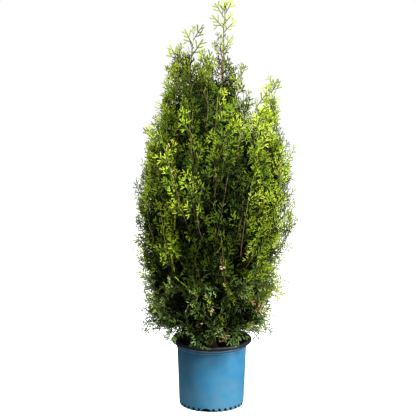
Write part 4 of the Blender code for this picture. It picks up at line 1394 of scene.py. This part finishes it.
# %% Twigs
def twig_bark(name, plain, roughness, specular, scale, dark, light):
    """Thin bark whose tone drifts between dark and light."""
    made, tree, shader = new_material(name, plain, roughness, specular=specular)
    place = node(tree, "ShaderNodeTexCoord").outputs["Object"]
    tone = node(tree, "ShaderNodeTexNoise", {"Scale": scale, "Detail": 2.0}, Vector=place).outputs["Fac"]
    tree.links.new(ramp(tree, tone, (0.35, dark), (0.65, light)), shader.inputs["Base Color"])
    return made


young_bark = twig_bark("young_twig_bark", "#8c8044", 0.6, 0.2, 40.0, "#5f5330", "#777536")
old_bark = twig_bark("old_twig_bark", "#6d4c3e", 0.7, 0.15, 60.0, "#54382f", "#7f5c48")
old_twigs = add_piece("old_twigs", *join(twig_meshes["old"]), old_bark)
young_twigs = add_piece("young_twigs", *join(twig_meshes["young"]), young_bark)
boughs = [name for name in frame["nodes"] if name.startswith("bough_")]
for piece in (old_twigs, young_twigs):
    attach(piece, "root")
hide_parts(*boughs)
print("twig faces:", len(old_twigs.data.polygons), "old,", len(young_twigs.data.polygons), "young")

# %% [markdown]
# ## The sprays in their tones
#
# A shoot of this year is lime green, the inner sprays nearly black-green, which is painted shade. Leaves low
# on the plant are older and bluer, and those at the very top younger and yellower, so there are three rows of
# greens by age, each from dark to light; the place of a spray in its row paints the crown's light and shade.
# Each spray has one tone, its ribs a little darker and the threads at its tips a little lighter. One material
# with a colour attribute would do as well, but plain colours go into any other program, and so every tone is
# a material, and all threads of a tone are joined.
# The leaves have a thin wax that gives a soft sheen, and their scales a small relief of 2 mm.

# %% Three ages of green, and the tan of dead sprays
# each row runs from painted shade deep in the crown to painted light at its surface
TIP_GREENS = (
    "#0a0e03", "#161d05", "#263109", "#3a4a0f", "#556616",
    "#73821a", "#909c22", "#a0a52a", "#aeae3a",
)
FRESH_GREENS = (
    "#080e03", "#111d05", "#21310a", "#364a10", "#4f6717",
    "#6c841c", "#889d24", "#98a72e", "#a8b03c",
)
OLD_GREENS = (
    "#080e07", "#131d0f", "#233113", "#384b24", "#506733",
    "#678040", "#7d944c", "#8fa057", "#9fa963",
)
DEAD = ("#96704f", "#bd9270")
LEAF_COLOURS = {"tip": TIP_GREENS, "fresh": FRESH_GREENS, "old": OLD_GREENS, "dead": DEAD}
RIB_TONE, YOUNG_TONE = -1.5, 1.2  # ribs are darker than their spray, the tips' threads lighter
MOST_TRIANGLES = 190000  # in one object
WITH_RIBS = 0.022  # shorter dead sprays show only their curled tips


def leaf_material(name, colour):
    """Waxy scale leaves: a soft sheen over the green."""
    made, tree, shader = new_material(name, colour, 0.5, ior=1.45, specular=0.08)
    place = node(tree, "ShaderNodeTexCoord").outputs["Object"]
    # scales of 2 mm
    scales = node(tree, "ShaderNodeTexNoise", {"Scale": 500.0, "Detail": 1.0}, Vector=place).outputs["Fac"]
    bump = node(tree, "ShaderNodeBump", {"Strength": 0.25, "Distance": 0.0005}, Height=scales)
    tree.links.new(bump.outputs["Normal"], shader.inputs["Normal"])
    return made


def placed(row, want_young):
    """(points, faces) of one placed spray's young threads, or of its others."""
    root, along, across, length, reach, kind, _ = row
    points, faces, young_faces = spray_kinds[kind]
    chosen = faces[young_faces == want_young]
    basis = np.array([along, across, along.cross(across)])
    used, renumbered = np.unique(chosen, return_inverse=True)
    return np.array(root) + (length / reach) * points[used] @ basis, renumbered.reshape(-1, 3)


# %% Deal the sprays out to their tones
# by age and tone, which is the place in the row of greens
groups = {}
for row in dead_sprays:
    groups.setdefault(("dead", 1), []).append(placed(row, True))
    if row[3] > WITH_RIBS:
        groups.setdefault(("dead", 0), []).append(placed(row, False))
for row in placed_sprays:
    age = "fresh" if rng.random() < smooth(row[0].z, 0.27, 0.50) else "old"
    age = "tip" if rng.random() < smooth(row[0].z, 0.84, 0.98) else age
    for want_young, lift in ((False, RIB_TONE), (True, YOUNG_TONE)):
        tone = min(len(FRESH_GREENS) - 1, max(0, round(row[6] + lift)))
        groups.setdefault((age, tone), []).append(placed(row, want_young))
print("tones in use:", len(groups))

# %% Join each tone into pieces
total = 0
for kind, tone in sorted(groups):
    material = leaf_material(f"{kind}_scale_leaves_{tone}", LEAF_COLOURS[kind][tone])
    batches, room = [[]], MOST_TRIANGLES
    for mesh in groups[kind, tone]:
        if len(mesh[1]) > room:
            batches.append([])
            room = MOST_TRIANGLES
        room -= len(mesh[1])
        batches[-1].append(mesh)
    for number, batch in enumerate(batches):
        piece = add_piece(f"{kind}_sprays_{tone}_{number}", *join(batch), material, smooth=False)
        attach(piece, "root")
        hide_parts(*mass_nodes)
        total += len(piece.data.polygons)
    print(kind, tone, sum(len(mesh[1]) for mesh in groups[kind, tone]), "triangles")
print("foliage:", total, "triangles")

# %% [markdown]
# ## Camera, light and floor
#
# The camera stands where the photo was taken from, worked out from the ellipses of the pot's lip and
# foot: a long lens 3.2 m away, a little below the plant's top, looking slightly down.

# %% Camera
LOOK_DOWN = 8.66  # degrees
camera_data = bpy.data.cameras.new("camera")
camera_data.sensor_width = 36.0  # mm
camera_data.lens = 94.85  # mm
camera = add_object("camera", camera_data)
camera.location = (-0.0111, -3.2, 1.083)
camera.rotation_euler = (math.radians(90 - LOOK_DOWN), 0, 0)
bpy.context.scene.camera = camera
print("lens:", camera_data.lens, "mm")

# %% [markdown]
# The plant stands on white paper in front of a white backdrop. The key light is a soft box at the
# upper right in front; a larger one at the upper left fills the tops, one at the right lights that
# side, and a faint low one lifts the pot. The paper glows a little instead of taking more light, so
# that it is white without a burnt pot, and it throws nothing back up into the crown.

# %% Paper, soft boxes and backdrop
HALF_SWEEP = 8.0
sweep_corners = [(x * HALF_SWEEP, y * HALF_SWEEP, 0) for x, y in ((-1, -1), (1, -1), (1, 1), (-1, 1))]
sweep_paper, _, shader = new_material("white_paper_sweep", "#ffffff", 1.0, specular=0.0)
shader.inputs["Emission Color"].default_value = linear("#ffffff")
shader.inputs["Emission Strength"].default_value = 0.85
sweep = add_piece("sweep", sweep_corners, [(0, 1, 2, 3)], sweep_paper)
sweep.visible_diffuse = False
sweep.visible_glossy = False


def soft_box(name, location, target, size, power):
    """A square area light that faces its target."""
    data = bpy.data.lights.new(name, "AREA")
    data.size = size
    data.energy = power
    made = add_object(name, data)
    made.location = location
    made.rotation_euler = (Vector(target) - Vector(location)).to_track_quat("-Z", "Y").to_euler()


# place, what it faces, size in metres, power in watts
soft_box("key", (2.27, -1.71, 2.8), (0, 0, 0.6), 0.8, 290)
soft_box("overhead", (-0.9, -1.5, 3.4), (0, 0, 0.6), 1.2, 160)
soft_box("side", (2.6, -1.3, 0.7), (0, 0, 0.4), 1.6, 50)
soft_box("low_fill", (-1.2, -2.8, 0.5), (0, 0, 0.1), 1.2, 12)

# the backdrop is white to the camera, and only a weak fill to the plant
world = bpy.data.worlds.new("white_studio")
world.use_nodes = True
tree = world.node_tree
seen = node(tree, "ShaderNodeLightPath").outputs["Is Camera Ray"]
level = node(tree, "ShaderNodeMapRange", {"To Min": 0.14, "To Max": 1.0}, Value=seen).outputs["Result"]
tree.links.new(level, tree.nodes["Background"].inputs["Strength"])
tree.nodes["Background"].inputs["Color"].default_value = (1, 1, 1, 1)
bpy.context.scene.world = world
bpy.context.scene.view_settings.view_transform = "Standard"
